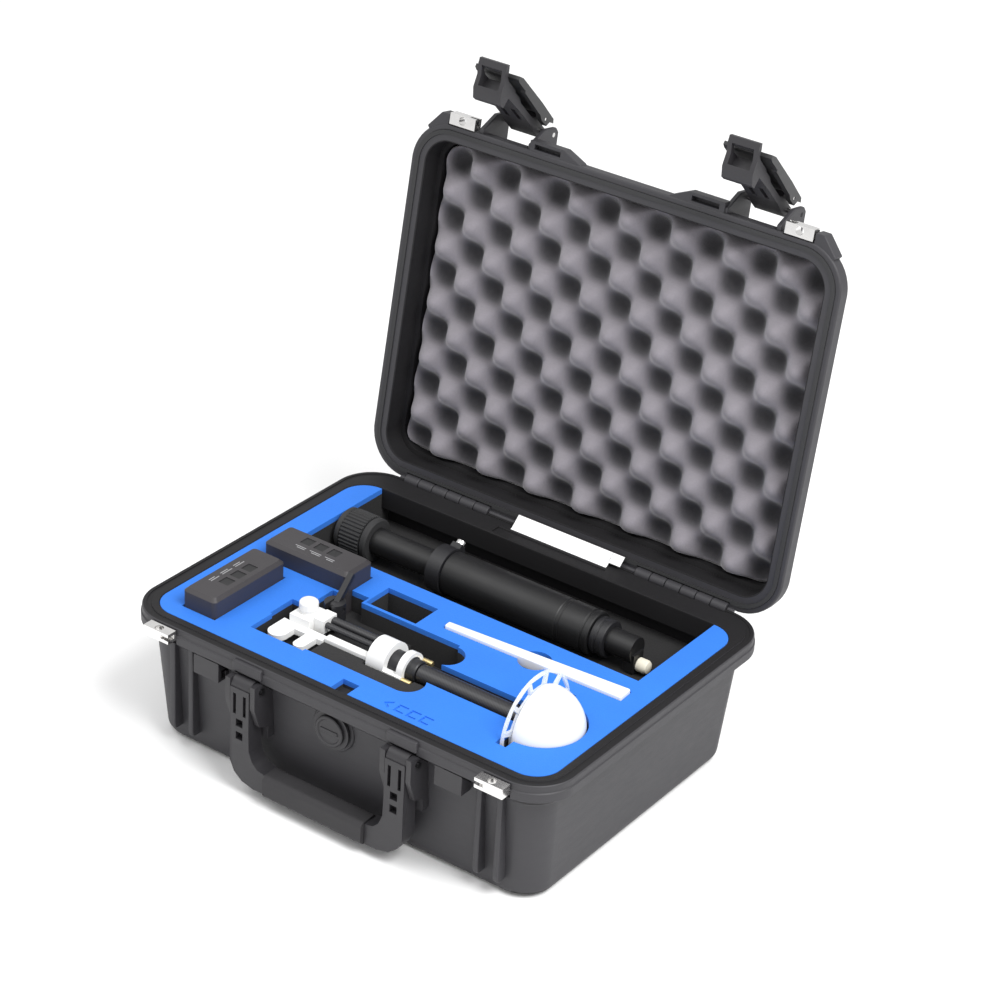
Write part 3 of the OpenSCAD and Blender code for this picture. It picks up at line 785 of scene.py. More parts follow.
@dataclass(frozen=True)
class CaseSizes:
    """The sizes that the case's parts share, in millimetres."""

    width: float = 420.0
    depth: float = 318.0
    base_height: float = 119.0
    lid_height: float = 47.0
    rim_radius: float = 38.0
    rim_face: float = 15.0
    band: float = 14.0
    slope: float = 11.0
    step_in: float = 13.0
    wall: float = 3.5
    rim_gap: float = 0.6
    open_angle: float = 99.4
    hinge_drop: float = 0.6
    knuckle_radius: float = 5.0
    knuckle_length: float = 15.0
    margin: float = 0.003
    hinge_groups: tuple[float, float] = (-121.0, 121.0)

    @property
    def hinge(self) -> Vector:
        """A point on the hinge's axis."""
        return Vector((0.0, self.depth / 2, self.base_height - self.hinge_drop))

    @property
    def lid_z(self) -> float:
        """Where the closed lid's rim lies."""
        return self.base_height + self.rim_gap

    @property
    def opening(self) -> Matrix:
        """Turns the closed lid open."""
        hinge = Matrix.Translation(self.hinge)
        return hinge @ Matrix.Rotation(-math.radians(self.open_angle), 4, "X") @ hinge.inverted()

    def section(self, inset: float, height: float, radius: float | None = None) -> Section:
        """A rounded rectangle that lies inside the rim's outline."""
        return (self.width / 2 - inset, self.depth / 2 - inset,
                self.rim_radius - inset if radius is None else radius, height)

    def paint_inner_shade(self, shape: Shape, low: float, high: float) -> Shape:
        """Marks the faces inside the gasket's line for the second finish, a darker copy of the plastic that
        paints shade on them.

        Args:
            shape: The closed tub or lid.
            low: The lowest height that is marked; callers keep it clear of any flat face.
            high: The highest, likewise.

        Returns:
            The same shape.
        """
        radius = self.rim_radius
        for face in shape.bm.faces:
            middle = face.calc_center_median()
            over_x = abs(middle.x) - self.width / 2 + radius
            over_y = abs(middle.y) - self.depth / 2 + radius
            beyond = math.hypot(max(over_x, 0.0), max(over_y, 0.0)) + min(max(over_x, over_y), 0.0) - radius
            outward = Vector((middle.x, middle.y, 0.0)).dot(face.normal) > 0.0 and abs(face.normal.z) < 0.5
            if beyond < -2.5 and low <= middle.z <= high and not outward:
                face.material_index = 1
        return shape

    def knuckles(self, odd: int, grow: float, radius: float, round_by: float = 0.8) -> Shape:
        """Every second hinge knuckle, as short turned barrels."""
        shape = Shape()
        for middle in self.hinge_groups:
            for k in range(odd, 6, 2):
                start = middle + (k - 3) * self.knuckle_length + 0.3 - grow
                end = start + self.knuckle_length - 0.6 + 2 * grow
                shape.lathe(rod(start, end, radius, round_by), (0.0, *self.hinge.yz), steps=32)
        return shape.outward()


CASE = CaseSizes()


# ------------------------------------------------------------------ assemblies


@dataclass
class BaseShell:
    """The tub: a drafted, round-edged bin under a stepped rim, with its front fittings."""

    draft: float = 6.0
    edge: float = 9.0
    floor: float = 4.0
    rib_x: tuple[float, float] = (141.0, 160.0)
    vent_z: float = 84.0
    vent_radius: float = 17.5
    handle_x: float = 77.0
    plate_x: float = 164.0
    notch_y: tuple[float, float] = (-61.0, 64.0)
    rear_ledge: float = 13.0

    def skin(self) -> Shape:
        """The bin's wall, from the underside over the rim to the inner floor.

        Returns:
            One closed shell.
        """
        case, top = CASE, CASE.base_height
        foot = case.step_in + self.draft
        wall_r = case.rim_radius - case.step_in
        under = [case.section(foot + self.edge * (1 - math.sin(math.radians(18 * k))),
                              self.edge * (1 - math.cos(math.radians(18 * k))), wall_r) for k in range(6)]
        slope_z = top - case.band - case.slope
        band_z = top - case.band
        rim = [case.section(case.step_in + 0.1, slope_z - 1.2, wall_r),
               case.section(case.step_in - 0.6, slope_z + 0.6, wall_r + 0.6),
               case.section(0.9, band_z - 0.8), case.section(0.1, band_z - 0.1),
               case.section(0.0, band_z + 0.8), case.section(0.0, top - 6.8),
               case.section(0.9, top - 6.0), case.section(0.9, top - 1.3),
               case.section(1.2, top - 0.5), case.section(1.9, top)]
        groove = [case.section(4.5, top), case.section(4.6, top - 0.8), case.section(8.4, top - 0.8),
                  case.section(8.5, top)]
        inner = [case.section(case.rim_face - 1.2, top), case.section(case.rim_face - 0.3, top - 0.4),
                 case.section(case.rim_face, top - 1.2), case.section(case.rim_face, top - 19.0),
                 case.section(case.rim_face + 1.5, top - 19.1, 20.0),
                 case.section(case.step_in + case.wall + self.draft, self.floor, 18.0)]
        return Shape().stack(under + rim + groove + inner)

    def cutters(self) -> Shape:
        """Room for the lid's knuckles, the handle's bosses, the vent, the plates and the side notches.

        Returns:
            The shape.
        """
        case, front = CASE, -CASE.depth / 2
        tool = case.knuckles(1, 0.3, case.knuckle_radius + 0.7, 0.05)
        for side in (-1, 1):
            x = side * self.handle_x
            tool.lathe([(x - 12.7, 0), (x - 12.7, 9.2), (x + 12.7, 9.2), (x + 12.7, 0)], (0, front - 1, 98))
            plate = side * self.plate_x
            tool.box((plate - 13, front - 1, case.base_height - 14.01),
                     (plate + 13, front + 3, case.base_height - 9))
        y = front + case.step_in - 1
        tool.lathe([(y, 0), (y, self.vent_radius + 0.5), (y - 14, self.vent_radius + 0.5), (y - 14, 0)],
                   (0, 0, self.vent_z), Axis.Y)
        for y in self.notch_y:
            tool.box((case.width / 2 - case.step_in - 3, y - 4.5, 90), (case.width / 2 - 6, y + 4.5, 95.5))
        return tool

    def fittings(self) -> Shape:
        """Ribs, vent ring, bracket caps and knuckles.

        Returns:
            The shape.
        """
        case, wall_y = CASE, -CASE.depth / 2 + CASE.step_in
        parts = case.knuckles(0, 0.0, case.knuckle_radius)
        for side in (-1, 1):
            for x in self.rib_x:
                low, high = sorted((side * x, side * (x + 5)))
                parts.prism([(wall_y + 8, 15.5), (wall_y - 2.5, 15.5), (wall_y - 4.4, 17.5), (wall_y - 5, 22),
                             (wall_y - 5, 99), (wall_y + 8, 99)], low, high, Axis.X, 1.3)
            low, high = sorted((side * 62, side * 91))
            parts.box((low, -case.depth / 2 - 2.5, case.base_height - 11.7), (high, -case.depth / 2 + 4,
                                                                            case.base_height - 2), 1.5)
        ring = self.vent_radius + 2.5
        parts.lathe([(wall_y + 4, 0), (wall_y + 4, ring), (wall_y - 0.2, ring), (wall_y - 1, ring - 0.8),
                     (wall_y - 1, 0)], (0, 0, self.vent_z), Axis.Y)
        return parts.outward()

    def mouth(self, inset: float, height: float) -> Section:
        """A section of the tub's mouth, which the rear ledge makes less deep."""
        x, y, radius, _ = CASE.section(inset, height)
        return (x, y - self.rear_ledge / 2, radius, height)

    def ledge(self) -> Shape:
        """The wide rear part of the rim, with rounded inner corners and the label's recess.

        Returns:
            The shape.
        """
        case, face = CASE, CASE.rim_face
        top = case.base_height - 0.02
        low = case.base_height - case.band - 5
        mouth = Shape().stack([self.mouth(face, low - 1), self.mouth(face, top - 1.2),
                               self.mouth(face - 0.3, top - 0.4), self.mouth(face - 1.2, top + 0.01),
                               self.mouth(face - 1.2, top + 1)])
        mouth.moved(Matrix.Translation((0, -self.rear_ledge / 2, 0)))
        slab = Shape().stack([case.section(face - 1.6, low), case.section(face - 1.6, top)])
        front = Shape().box((-case.width, -case.depth, low - 2), (case.width, 107, top + 2))
        slab.cut(mouth).cut(front)
        return slab.cut(Shape().box((-55.5, 134, top - 1.2), (55.5, 150, top + 1)))

    def build(self, shop: Shop) -> None:
        """Models the tub and its small fixed parts.

        Args:
            shop: Makes and places the pieces.
        """
        body = self.skin().cut(self.cutters())
        body.soften(0.35, 2, 50.0, only=lambda e: e.calc_length() > 4.0)
        body.with_shapes(self.ledge())
        # Painted shade: the rim top and inner faces take a darker copy of the shell plastic.
        CASE.paint_inner_shade(body, -CASE.margin, CASE.base_height + CASE.margin)
        body.with_shapes(self.fittings())
        shop.piece(body, "case_tub", Finishes.SHELL, "base", ["base_shell"], inside=Finishes.RIM_PAINTED_SHADE)
        for node in ("handle_bracket_left", "handle_bracket_right", "latch_keepers"):
            shop.softened(node, Finishes.TRIM, 0.6)
        for node in ("padlock_plate_left", "padlock_plate_right"):
            shop.softened(node, Finishes.STEEL, 0.45)
        for node in ("hinge_pins", "handle_pins"):
            shop.dress(node, Finishes.PIN)


@dataclass
class HingeLabel:
    """A blank card label with a tab; it stands up off the rear rim."""

    ends: Flat = (-45.0, 53.0)
    tab: float = 64.0
    thickness: float = 0.5
    rise: tuple[Flat, ...] = ((146.5, 118.8), (148.6, 119.6), (151.5, 121.9), (154.6, 124.8), (158.4, 128.2))

    def build(self, shop: Shop) -> None:
        """Draws the card's curve out along X, with its tab on the upper half.

        Args:
            shop: Makes and places the pieces.
        """
        shape = Shape()
        for first, start, end in ((0, *self.ends), (2, self.ends[1] - 1.0, self.tab)):
            curve = list(self.rise[first:])
            back = [(y + self.thickness * 0.5, z - self.thickness) for y, z in reversed(curve)]
            shape.prism(curve + back, start, end, Axis.X)
        card = shop.piece(shape.outward(), "blank_label", Finishes.LABEL, "base", ["hinge_label"],
                          smooth=50.0)
        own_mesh(card)


@dataclass
class Vent:
    """The round pressure vent: a fixed collar and a cap that turns."""

    centre_z: float = 84.0
    radius: float = 13.5

    def build(self, shop: Shop) -> None:
        """Turns the cap with a dished face and a finger bar.

        Args:
            shop: Makes and places the pieces.
        """
        shop.softened("vent_body", Finishes.TRIM, 0.7)
        low, high = (corner * 1000 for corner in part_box("vent_cap"))
        face = low.y
        cap = Shape().lathe([(face + 2.4, 0), (face + 2.4, self.radius), (face + 0.6, self.radius),
                             (face, self.radius - 0.8), (face, self.radius - 2.6),
                             (face + 0.8, self.radius - 3.4), (face + 0.8, 0)],
                            (0, 0, self.centre_z), Axis.Y, 72)
        cap.box((-8.5, face + 0.05, self.centre_z - 1.6), (8.5, face + 1.5, self.centre_z + 1.6), 0.5)
        cap.lathe([(high.y, 0), (high.y, 3), (face + 2, 3), (face + 2, 0)], (0, 0, self.centre_z), Axis.Y, 32)
        shop.piece(cap.outward(), "vent_disc", Finishes.TRIM, "vent", ["vent_cap"])


@dataclass
class FoamInsert:
    lip: float = 0.8
    mark_depth: float = 1.3
    sheet_top: float = 118.6

    def marks(self) -> Shape:
        """A plain row of pressed-in shapes: a chevron and three square brackets.

        Returns:
            The shape.
        """
        tool = Shape()
        low, high = self.sheet_top - self.mark_depth, self.sheet_top + 1
        chevron = [(38, -133), (45, -127.5), (45, -130), (41.5, -133), (45, -136), (45, -138.5)]
        tool.prism(chevron, low, high, Axis.Z)
        for x, length in ((50, 9), (62, 9), (74, 9)):
            tool.box((x, -130, low), (x + length, -128, high))
            tool.box((x, -138, low), (x + 2, -130.5, high))
            tool.box((x, -138, low), (x + length, -136, high))
        return tool.outward()

    def build(self, shop: Shop) -> None:
        """Softens the cut edges of both layers.

        Args:
            shop: Makes and places the pieces.
        """
        sheet = shop.copy("base_foam_top").cut(self.marks()).soften(self.lip, 2, 40.0)
        top = shop.piece(sheet, "blue_sheet", Finishes.BLUE, "base", ["base_foam_top"])
        core = shop.copy("base_foam_core").soften(0.5, 1, 40.0)
        block = shop.piece(core, "black_block", Finishes.CORE, "base", ["base_foam_core"])


@dataclass
class Lid:
    """The lid: a shallow shell with latch lugs and stacking loops, drawn shut and then opened."""

    lean: float = 3.0
    edge: float = 9.0
    latch_x: float = 120.0
    latch_width: float = 44.0
    bead_radius: float = 2.2
    bead_end: float = 172.0
    plate_x: float = 164.0

    def skin(self) -> Shape:
        """The lid's wall, from its rim over the top and back inside.

        Returns:
            The shape.
        """
        case, low = CASE, CASE.lid_z
        top = case.base_height + case.lid_height
        wall_r = case.rim_radius - case.step_in
        band_z, slope_z = low + case.band, low + case.band + case.slope
        rim = [case.section(1.8, low), case.section(0.7, low + 0.4), case.section(0.0, low + 1.2),
               case.section(0.0, low + 6.0), case.section(0.8, low + 6.8), case.section(0.8, band_z - 0.8),
               case.section(1.7, band_z + 0.2),
               case.section(case.step_in - 0.6, slope_z - 0.6, wall_r + 0.6),
               case.section(case.step_in + 0.1, slope_z + 1.0, wall_r)]
        crown = [case.section(case.step_in + self.lean + self.edge * (1 - math.sin(math.radians(18 * k))),
                              top - self.edge * (1 - math.cos(math.radians(18 * k))), wall_r)
                 for k in range(5, -1, -1)]
        panel = [case.section(38.0, top, 22.0), case.section(39.2, top - 1.0, 21.0)]
        outside = rim + crown + panel
        groove = [case.section(4.5, low), case.section(4.6, low + 1.2), case.section(8.4, low + 1.2),
                  case.section(8.5, low)]
        inner = [case.section(case.rim_face - 1.2, low), case.section(case.rim_face - 0.3, low + 0.4),
                 case.section(case.rim_face, low + 1.2), case.section(case.rim_face, low + 20.0),
                 case.section(19.4, low + 20.1, 18.0), case.section(19.5, top - case.wall, 18.0)]
        return Shape().stack(list(reversed(outside)) + groove + inner)

    def lugs(self) -> Shape:
        """Two cheeks for each latch pin.

        Returns:
            The shape.
        """
        front = -CASE.depth / 2
        low = CASE.lid_z
        pivot_y, pivot_z = front - 9, CASE.base_height + 33
        outline = [(front + 16, low + 4), (front - 4, low + 2), (pivot_y - 6, pivot_z - 12),
                   (pivot_y - 6, pivot_z + 3), (pivot_y - 2, pivot_z + 7), (front + 17, pivot_z + 8)]
        shape = Shape()
        for side in (-1, 1):
            for start in (-self.latch_width / 2 - 5, self.latch_width / 2 + 0.6):
                low_x, high_x = sorted((side * (self.latch_x + start), side * (self.latch_x + start + 4.4)))
                shape.prism(outline, low_x, high_x, Axis.X, 1.1)
        return shape

    def bosses(self) -> Shape:
        """The stacking lugs beside the latches and the wedges beside the padlock plates.

        Returns:
            The shape.
        """
        front, low = -CASE.depth / 2, CASE.lid_z
        shape = Shape()
        for side in (-1, 1):
            lug = [(side * x, y) for x, y in ((42, front + 2), (44, front - 1), (61, front - 8.5),
                                              (95, front - 8.5), (95, front + 2))]
            wedge = [(side * x, y) for x, y in ((178, front + 3), (178, front - 8), (186, front - 8),
                                                (199, front + 7), (195, front + 12))]
            low_x, high_x = sorted((side * 64, side * 90))
            shape.with_shapes(
                Shape().prism(lug, low + 1, low + 11, Axis.Z, 0.8).cut(
                    Shape().box((low_x, front - 6, low - 1), (high_x, front - 1.5, low + 7))),
                Shape().prism(wedge, low + 1, low + 13, Axis.Z, 0.8))
        return shape

    def bead(self) -> Shape:
        """The rolled edge along the hinge, between and beside the knuckles.

        Returns:
            The shape.
        """
        y, z = CASE.hinge.yz
        half = 3 * CASE.knuckle_length
        left, right = CASE.hinge_groups
        shape = Shape()
        for start, end in ((-self.bead_end, left - half), (left + half, right - half),
                           (right + half, self.bead_end)):
            shape.lathe(rod(start, end, self.bead_radius), (0.0, y, z), steps=16)
        return shape

    def build(self, shop: Shop) -> None:
        """Models the shell and its plates and pins.

        Args:
            shop: Makes and places the pieces.
        """
        tool = CASE.knuckles(0, 0.3, CASE.knuckle_radius + 0.7, 0.05)
        front = -CASE.depth / 2
        for side in (-1, 1):
            x = side * self.plate_x
            tool.box((x - 14, front - 1, CASE.lid_z - 1), (x + 14, front + 1, CASE.lid_z + 10))
        shell = self.skin().cut(tool).soften(0.35, 2, 50.0, only=lambda e: e.calc_length() > 4.0)
        ceiling = CASE.base_height + CASE.lid_height - CASE.wall
        # Painted shade: the inner faces take a darker copy of the shell plastic.
        CASE.paint_inner_shade(shell, CASE.lid_z + CASE.margin, ceiling + CASE.margin)
        shell.with_shapes(self.lugs().outward(), self.bosses().outward(), self.bead().outward(),
                          CASE.knuckles(1, 0.0, CASE.knuckle_radius))
        shell.moved(CASE.opening)
        shop.piece(shell, "case_lid", Finishes.SHELL, "lid", ["lid_shell"], inside=Finishes.RIM_PAINTED_SHADE)
        for node in ("lid_plate_left", "lid_plate_right"):
            shop.softened(node, Finishes.STEEL, 0.45)
        for node in ("latch_pin_left", "latch_pin_right"):
            shop.dress(node, Finishes.STEEL)
        shop.dress("lid_gasket", Finishes.RUBBER)


@dataclass
class EggFoam:
    """The lid's convoluted foam pad, a dense skin of peaks and hollows."""

    half_width: float = 190.0
    half_depth: float = 139.0
    corner: float = 18.0
    pitch: float = 25.15
    hollow_x: float = -123.4
    hollow_y: float = -124.5
    back_z: float = 162.0
    peak_z: float = 127.0
    hollow_z: float = 155.0
    step: float = 2.1
    sharpness: float = 1.1
    edge_width: float = 5.0
    edge_drop: float = 0.5
    back_shade: float = 0.8

    def height(self, x: float, y: float) -> tuple[float, float]:
        """The skin's height at a place in the closed lid.

        Args:
            x: Across the lid.
            y: Along the lid.

        Returns:
            The height, and the painted shade of its hollow from 0 to 1.
        """
        wave = (math.cos(math.pi * (x - self.hollow_x) / self.pitch)
                * math.cos(math.pi * (y - self.hollow_y) / self.pitch))
        sunk = (0.5 + 0.5 * wave) ** self.sharpness
        shade = max(0.0, min(1.0, (wave + 0.25) / 0.80))
        return (self.peak_z + (self.hollow_z - self.peak_z) * sunk, shade * shade * (3 - 2 * shade))

    def rounded(self, x: float, y: float) -> Flat:
        """Moves a point of the plain rectangle into the round-cornered one.

        Args:
            x: Across the lid.
            y: Along the lid.

        Returns:
            The moved point.
        """
        a = (abs(x) - self.half_width + self.corner) / self.corner
        b = (abs(y) - self.half_depth + self.corner) / self.corner
        if a <= 0 or b <= 0:
            return x, y
        reach_a, reach_b = a * math.sqrt(1 - b * b / 2), b * math.sqrt(1 - a * a / 2)
        return (math.copysign(self.half_width - self.corner + reach_a * self.corner, x),
                math.copysign(self.half_depth - self.corner + reach_b * self.corner, y))

    def build(self, shop: Shop) -> None:
        """Moulds the skin, closes it at the back and sets it in the lid.

        Args:
            shop: Makes and places the pieces.
        """
        shape = Shape()
        bm = shape.bm
        across, along = (round(2 * half / self.step) for half in (self.half_width, self.half_depth))
        bmesh.ops.create_grid(bm, x_segments=across, y_segments=along, size=1.0,
                              matrix=Matrix.Diagonal((self.half_width, self.half_depth, 1.0, 1.0)))
        # The depth attribute holds painted shade: 0 on the peaks, 1 down in the hollows.
        depth = bm.verts.layers.float.new("depth")
        for vert in bm.verts:
            height, painted_hollow_shade = self.height(vert.co.x, vert.co.y)
            edge = min(self.half_width - abs(vert.co.x), self.half_depth - abs(vert.co.y))
            fade = max(0.0, min(1.0, edge / self.edge_width)) ** 0.5
            x, y = self.rounded(vert.co.x, vert.co.y)
            vert.co = (x, y, height + (1 - fade) * (self.hollow_z - height) * self.edge_drop)
            vert[depth] = painted_hollow_shade
        rim = [e for e in bm.edges if e.is_boundary]
        grown = bmesh.ops.extrude_edge_only(bm, edges=rim)["geom"]
        lower = [v for v in grown if isinstance(v, bmesh.types.BMVert)]
        for vert in lower:
            vert.co.z = self.back_z
            # Painted shade on the pad's sides and back.
            vert[depth] = self.back_shade
        edges = [e for e in grown if isinstance(e, bmesh.types.BMEdge) and e.is_boundary]
        bmesh.ops.contextual_create(bm, geom=edges)
        bmesh.ops.recalc_face_normals(bm, faces=bm.faces)
        shape.moved(CASE.opening)
        pad = shop.piece(shape, "convoluted_pad", Finishes.EGG, "lid", ["lid_foam"], smooth=60.0, even=False)
        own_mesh(pad)


@dataclass
class Latch:
    """One over-centre latch: hook, pull lever and their pin."""

    side: str

    def build(self, shop: Shop) -> None:
        """Rounds the moulded edges."""
        shop.softened(f"latch_hook_{self.side}", Finishes.TRIM, 0.5)
        shop.softened(f"latch_trigger_{self.side}", Finishes.LEVER, 0.7)
        shop.dress(f"trigger_pin_{self.side}", Finishes.STEEL)


@dataclass
class Handle:
    """The front carrying handle: a moulded frame with a soft grip."""

    def build(self, shop: Shop) -> None:
        """Rounds the frame and turns the grip's edges."""
        shop.softened("handle_frame", Finishes.TRIM, 1.6, 3)
        shop.softened("handle_grip", Finishes.GRIP, 0.8)


@dataclass
class BatteryPack:
    """One battery pack with dark contact wells and a faint printed stripe."""

    name: str
    middle: Flat
    turned: bool
    top: float = 136.0

    def print_marks(self) -> Shape:
        """Two rows of three short pale bars beside the wells.

        Returns:
            The shape.
        """
        shape = Shape()
        for start, end in ((-22, -12), (-8, 4), (8, 19)):
            for shift in (-6.5, -8.7):
                shape.box((shift, start, self.top - 0.06),
                          (shift + 0.9, end - (shift < -7) * 3, self.top + 0.06))
        turn = Matrix.Rotation(math.pi / 2 if self.turned else 0.0, 4, "Z")
        return shape.moved(Matrix.Translation((*self.middle, 0.0)) @ turn)

    def build(self, shop: Shop) -> None:
        """Rounds the case and adds the print."""
        shop.softened(f"{self.name}_case", Finishes.PACK, 0.9, 3, 25.0)
        shop.dress(f"{self.name}_contacts", Finishes.PACK_DARK)
        shop.piece(self.print_marks(), f"{self.name}_print", Finishes.INK, self.name, even=False)


@dataclass
class Mast:
    """The telescopic mast lying in the rear channel."""

    y: float = 77.0
    z: float = 104.0
    collar_radius: float = 20.0
    tube_radius: float = 12.0
    grooves: int = 36

    @property
    def axis_point(self) -> Point:
        """A point on the mast's axis."""
        return (0.0, self.y, self.z)

    def turned(self, shop: Shop, node: str, name: str, finish: Finishes,
               profile: Sequence[Flat]) -> None:
        """Turns one part round the mast's axis, in place of a CAD node."""
        shape = Shape().lathe(profile, self.axis_point, steps=80).outward()
        shop.piece(shape, name, finish, shop.body_of[node], [node])

    def collar(self) -> Shape:
        """A knurled twist collar between two plain lips.

        Returns:
            The shape.
        """
        count, r = self.grooves, self.collar_radius
        outline = []
        for k in range(count * 4):
            angle = math.tau * k / (count * 4)
            radius = r if k % 4 in (0, 1) else r - 1.1
            outline.append((self.y + radius * math.cos(angle), self.z + radius * math.sin(angle)))
        shape = Shape().prism(outline, -160.5, -140.0, Axis.X)
        bore = self.tube_radius + 0.1
        for start, end in ((-166.9, -161.5), (-139.5, -133.1)):
            shape.lathe([(start, bore), (start, r - 2.0), (start + 1.4, r - 0.6), (end - 1.4, r - 0.6),
                         (end, r - 2.0), (end, bore), (start, bore)], self.axis_point, steps=80)
        shape.lathe([(-166.5, bore), (-166.5, r - 3), (-133.5, r - 3), (-133.5, bore), (-166.5, bore)],
                    self.axis_point, steps=80)
        return shape.outward()

    def build(self, shop: Shop) -> None:
        """Turns the tube, the sleeve and the end fittings.

        Args:
            shop: Makes and places the pieces.
        """
        r = self.tube_radius
        self.turned(shop, "mast_tube", "inner_tube", Finishes.MAST,
                    [(-169, 0), (-169, r - 1.3), (-167.8, r), (3, r), (4, r - 1), (4, 0)])
        self.turned(shop, "mast_sleeve", "outer_sleeve", Finishes.MAST,
                    [(-54, r + 0.1), (-54, 17.6), (-53, 18.6), (-45, 18.6), (-44.4, 19), (62, 19),
                     (62.8, 18.4),
                     (66, 18.4), (66.8, 19), (87, 19), (88, 18), (89, 18), (90, 19), (94, 19), (95, 18),
                     (95, 0), (65.5, 0), (65.5, r + 0.1), (-54, r + 0.1)])
        shop.piece(self.collar(), "twist_collar", Finishes.RUBBER, "collar", ["mast_collar"])
        self.turned(shop, "mast_end_ring", "end_ring", Finishes.SMALL,
                    [(95.1, 0), (95.1, 15), (96.1, 16), (99, 16), (99.8, 15.2), (101.6, 15.2), (102.4, 16),
                     (107, 16), (108, 15), (108, 0)])
        shop.softened("mast_end_fitting", Finishes.MAST, 0.7)
        shop.softened("mast_clamp_boss", Finishes.SMALL, 0.6)
        shop.softened("mast_clamp_screw", Finishes.STEEL, 0.5)
        tip = Shape().lathe([(135.1, 0), (135.1, 5.2), (136, 6), (143, 6), (145, 5), (146, 3), (146, 0)],
                            (0, self.y, self.z - 12), steps=48).outward()
        shop.piece(tip, "rubber_tip", Finishes.CREAM, "sleeve", ["mast_tip"])


@dataclass
class Boom:
    """The short boom: white bracket, twin spars, caged motor and its tube."""

    y: float = -76.0
    z: float = 113.0

    def rods(self, shop: Shop, node: str, name: str, finish: Finishes, ends: Flat,
             centres: Sequence[Point]) -> None:
        """Straight round rods along X with rounded ends, in place of a CAD node.

        Args:
            shop: Makes the piece.
            node: The CAD node.
            name: The piece's name.
            finish: Its finish.
            ends: Where the rods start and end.
            centres: (y, z, radius) of each rod.
        """
        start, end = ends
        shape = Shape()
        for y, z, radius in centres:
            shape.lathe(rod(start, end, radius), (0, y, z), steps=40)
        shop.piece(shape.outward(), name, finish, shop.body_of[node], [node])

    def motor(self) -> Shape:
        """A small motor can with cooling ribs.

        Returns:
            The shape.
        """
        profile = [(-11, 0), (-11, 10), (-10, 10.9)]
        for k in range(5):
            x = -8 + 3 * k
            profile += [(x, 10.9), (x + 0.2, 10.1), (x + 1.1, 10.1), (x + 1.3, 10.9)]
        profile += [(22, 10.9), (23, 9.8), (29, 9.8), (30, 9), (30, 0)]
        return Shape().lathe(profile, (0, self.y, self.z), steps=64).outward()

    def knob(self) -> Shape:
        """A low thumb knob with a rounded crown, on its stem."""
        low = self.z + 12.3
        profile = [(low - 16, 0), (low - 16, 3), (low, 3), (low, 7.4), (low + 0.6, 8), (low + 5.6, 8),
                   (low + 6.6, 7.5), (low + 7.6, 6.2), (low + 8.2, 4.4), (low + 8.45, 2.4), (low + 8.49, 0)]
        return Shape().lathe(profile, (-86, -73, 0), Axis.Z, 48).outward()

    def build(self, shop: Shop) -> None:
        """Models the boom's parts.

        Args:
            shop: Makes and places the pieces.
        """
        shop.softened("boom_bracket", Finishes.WHITE, 1.3, 3)
        self.rods(shop, "boom_spars", "twin_spars", Finishes.CARBON, (-65.9, -12.1),
                  ((-66, self.z + 5, 3.8), (-75, self.z + 5.5, 2.6)))
        shop.softened("boom_rail", Finishes.WHITE, 1.6, 3)
        self.rods(shop, "boom_screws", "brass_screws", Finishes.BRASS, (22.1, 31),
                  ((self.y - 14, self.z - 3, 2.6), (self.y + 14, self.z + 2, 2.6)))
        shop.piece(self.knob(), "thumb_knob", Finishes.WHITE, "knob", ["boom_knob"])
        shop.softened("boom_lever", Finishes.SMALL, 0.5)
        shop.softened("boom_lever_pivot", Finishes.SMALL, 0.6)
        shop.softened("boom_collar", Finishes.WHITE, 0.8)
        shop.piece(self.motor(), "motor_can", Finishes.SMALL, "boom", ["boom_motor"])
        tube = Shape().lathe([(30.1, 0), (30.1, 7), (31, 8), (130.2, 8), (131, 7.2), (131, 5), (135.4, 5),
                              (135.5, 4.8), (135.5, 0)], (0, self.y, self.z), steps=48).outward()
        shop.piece(tube, "boom_rod", Finishes.CARBON, "boom", ["boom_tube"])


@dataclass
class Head:
    """The turning head: hub, clear windowed guard and white dome."""

    x: float = 143.0
    y: float = -76.0
    z: float = 113.0
    dome_radius: float = 35.0

    def dome(self) -> Shape:
        """A slightly flattened dome with a rolled rim.

        Returns:
            The shape.
        """
        base = self.x - 1.4
        r = self.dome_radius
        profile = [(base, 0), (base, r - 2.0), (base + 0.6, r - 0.6), (base + 2.2, r - 0.05), (base + 4.4, r)]
        profile += [(self.x + 3 + r * math.sin(math.radians(a)), r * math.cos(math.radians(a)))
                    for a in range(4, 90, 4)]
        profile += [(self.x + 3 + r, 0)]
        return Shape().lathe(profile, (0, self.y, self.z), steps=96).outward()

    def build(self, shop: Shop) -> None:
        """Models the head's parts."""
        shop.piece(self.dome(), "white_dome", Finishes.WHITE, "head", ["head_dome"])
        shop.softened("head_guard", Finishes.CLEAR, 0.4)
        shop.softened("head_hub", Finishes.WHITE, 0.7)


@dataclass
class Blade:
    """The tapered white blade in its slot."""

    rounding: float = 1.6

    def build(self, shop: Shop) -> None:
        """Rounds the blade's edges."""
        shape = shop.copy("blade").soften(self.rounding, 4, 30.0)
        shop.piece(shape, "tapered_blade", Finishes.WHITE, "blade", ["blade"])


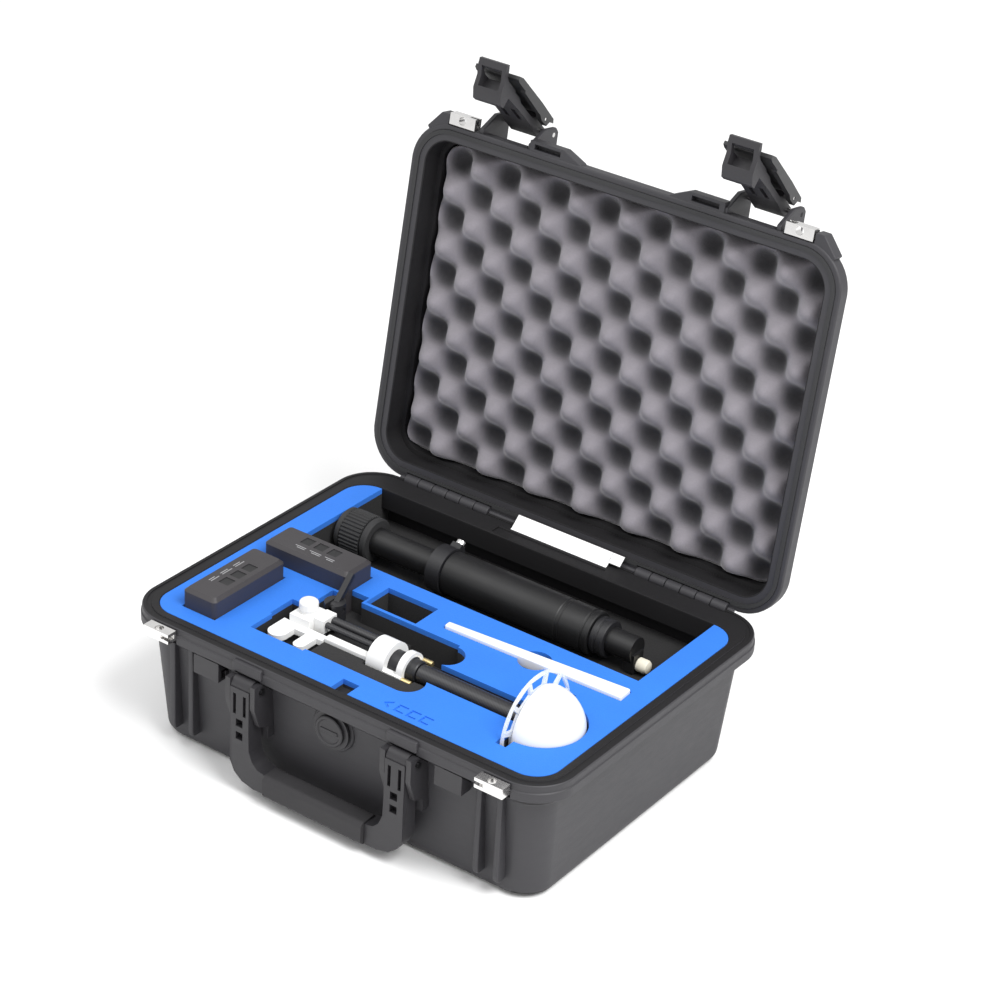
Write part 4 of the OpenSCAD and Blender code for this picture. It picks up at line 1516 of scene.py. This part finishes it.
@dataclass
class Studio:
    """Camera, floor and lights."""

    azimuth: float = 34.48
    elevation: float = 29.13
    roll: float = 3.40
    distance: float = 2.42004
    aim: Flat = (0.04746, 0.19698)
    lens: float = 105.39
    sky: float = 0.84
    floor_shade: float = 0.95
    floor_size: float = 9.0

    def camera(self) -> None:
        """Places the camera by its view angles."""
        a, e, r = (math.radians(angle) for angle in (self.azimuth, self.elevation, self.roll))
        back = Vector((math.sin(a) * math.cos(e), -math.cos(a) * math.cos(e), math.sin(e)))
        right = Vector((math.cos(a), math.sin(a), 0.0))
        up = back.cross(right)
        across = right * math.cos(r) + up * math.sin(r)
        upward = up * math.cos(r) - right * math.sin(r)
        data = bpy.data.cameras.new("view")
        data.lens, data.sensor_width = self.lens, 36.0
        camera = bpy.data.objects.new("view", data)
        turn = Matrix((across, upward, back)).transposed().to_4x4()
        camera.matrix_world = Matrix.Translation(across * self.aim[0] + upward * self.aim[1]
                                                 + back * self.distance) @ turn
        bpy.context.scene.collection.objects.link(camera)
        bpy.context.scene.camera = camera

    def light(self, name: str, place: Point, size: float, power: float, aim: Point = (0, 0, 0.15)) -> None:
        """Adds one softbox.

        Args:
            name: The name.
            place: Where it stands.
            size: Its width.
            power: Its power in watts.
            aim: What it points at.
        """
        data = bpy.data.lights.new(name, "AREA")
        data.shape, data.size, data.energy = "DISK", size, power
        lamp = bpy.data.objects.new(name, data)
        lamp.location = place
        lamp.rotation_euler = (Vector(place) - Vector(aim)).to_track_quat("Z", "Y").to_euler()
        bpy.context.scene.collection.objects.link(lamp)

    def build(self) -> None:
        """Sets the stage."""
        self.camera()
        world = bpy.data.worlds.new("studio")
        world.use_nodes = True
        world.node_tree.nodes["Background"].inputs["Color"].default_value = (1.0, 1.0, 1.0, 1.0)
        world.node_tree.nodes["Background"].inputs["Strength"].default_value = self.sky
        bpy.context.scene.world = world
        bpy.context.scene.view_settings.view_transform = "Standard"
        self.light("key", (1.6, -0.4, 2.3), 1.5, 66.0)
        self.light("fill", (-1.2, -1.2, 2.8), 2.2, 22.0)
        graph = Graph("studio_floor")
        graph.feed("Base Color", (self.floor_shade,) * 3)
        graph.feed("Roughness", 0.9)
        bm = bmesh.new()
        bmesh.ops.create_grid(bm, x_segments=1, y_segments=1, size=self.floor_size)
        mesh = bpy.data.meshes.new("floor")
        bm.to_mesh(mesh)
        bm.free()
        mesh.materials.append(graph.material)
        floor = bpy.data.objects.new("floor", mesh)
        floor.location.z = -0.0003
        bpy.context.scene.collection.objects.link(floor)


def main() -> None:
    """Builds every assembly around the frame."""
    logging.basicConfig(level=logging.INFO, format="%(name)s %(message)s")
    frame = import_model()
    Studio().build()
    shop = Shop(frame)
    assemblies = (BaseShell(), FoamInsert(), HingeLabel(), Vent(), Handle(), Lid(), EggFoam(),
                  Latch("left"), Latch("right"),
                  BatteryPack("pack_a", (-155.0, -84.0), False), BatteryPack("pack_b", (-128.0, -10.0), True),
                  Mast(), Boom(), Head(), Blade())
    for assembly in assemblies:
        assembly.build(shop)
    LOG.info("%d pieces", shop.made)


if __name__ == "__main__":
    main()
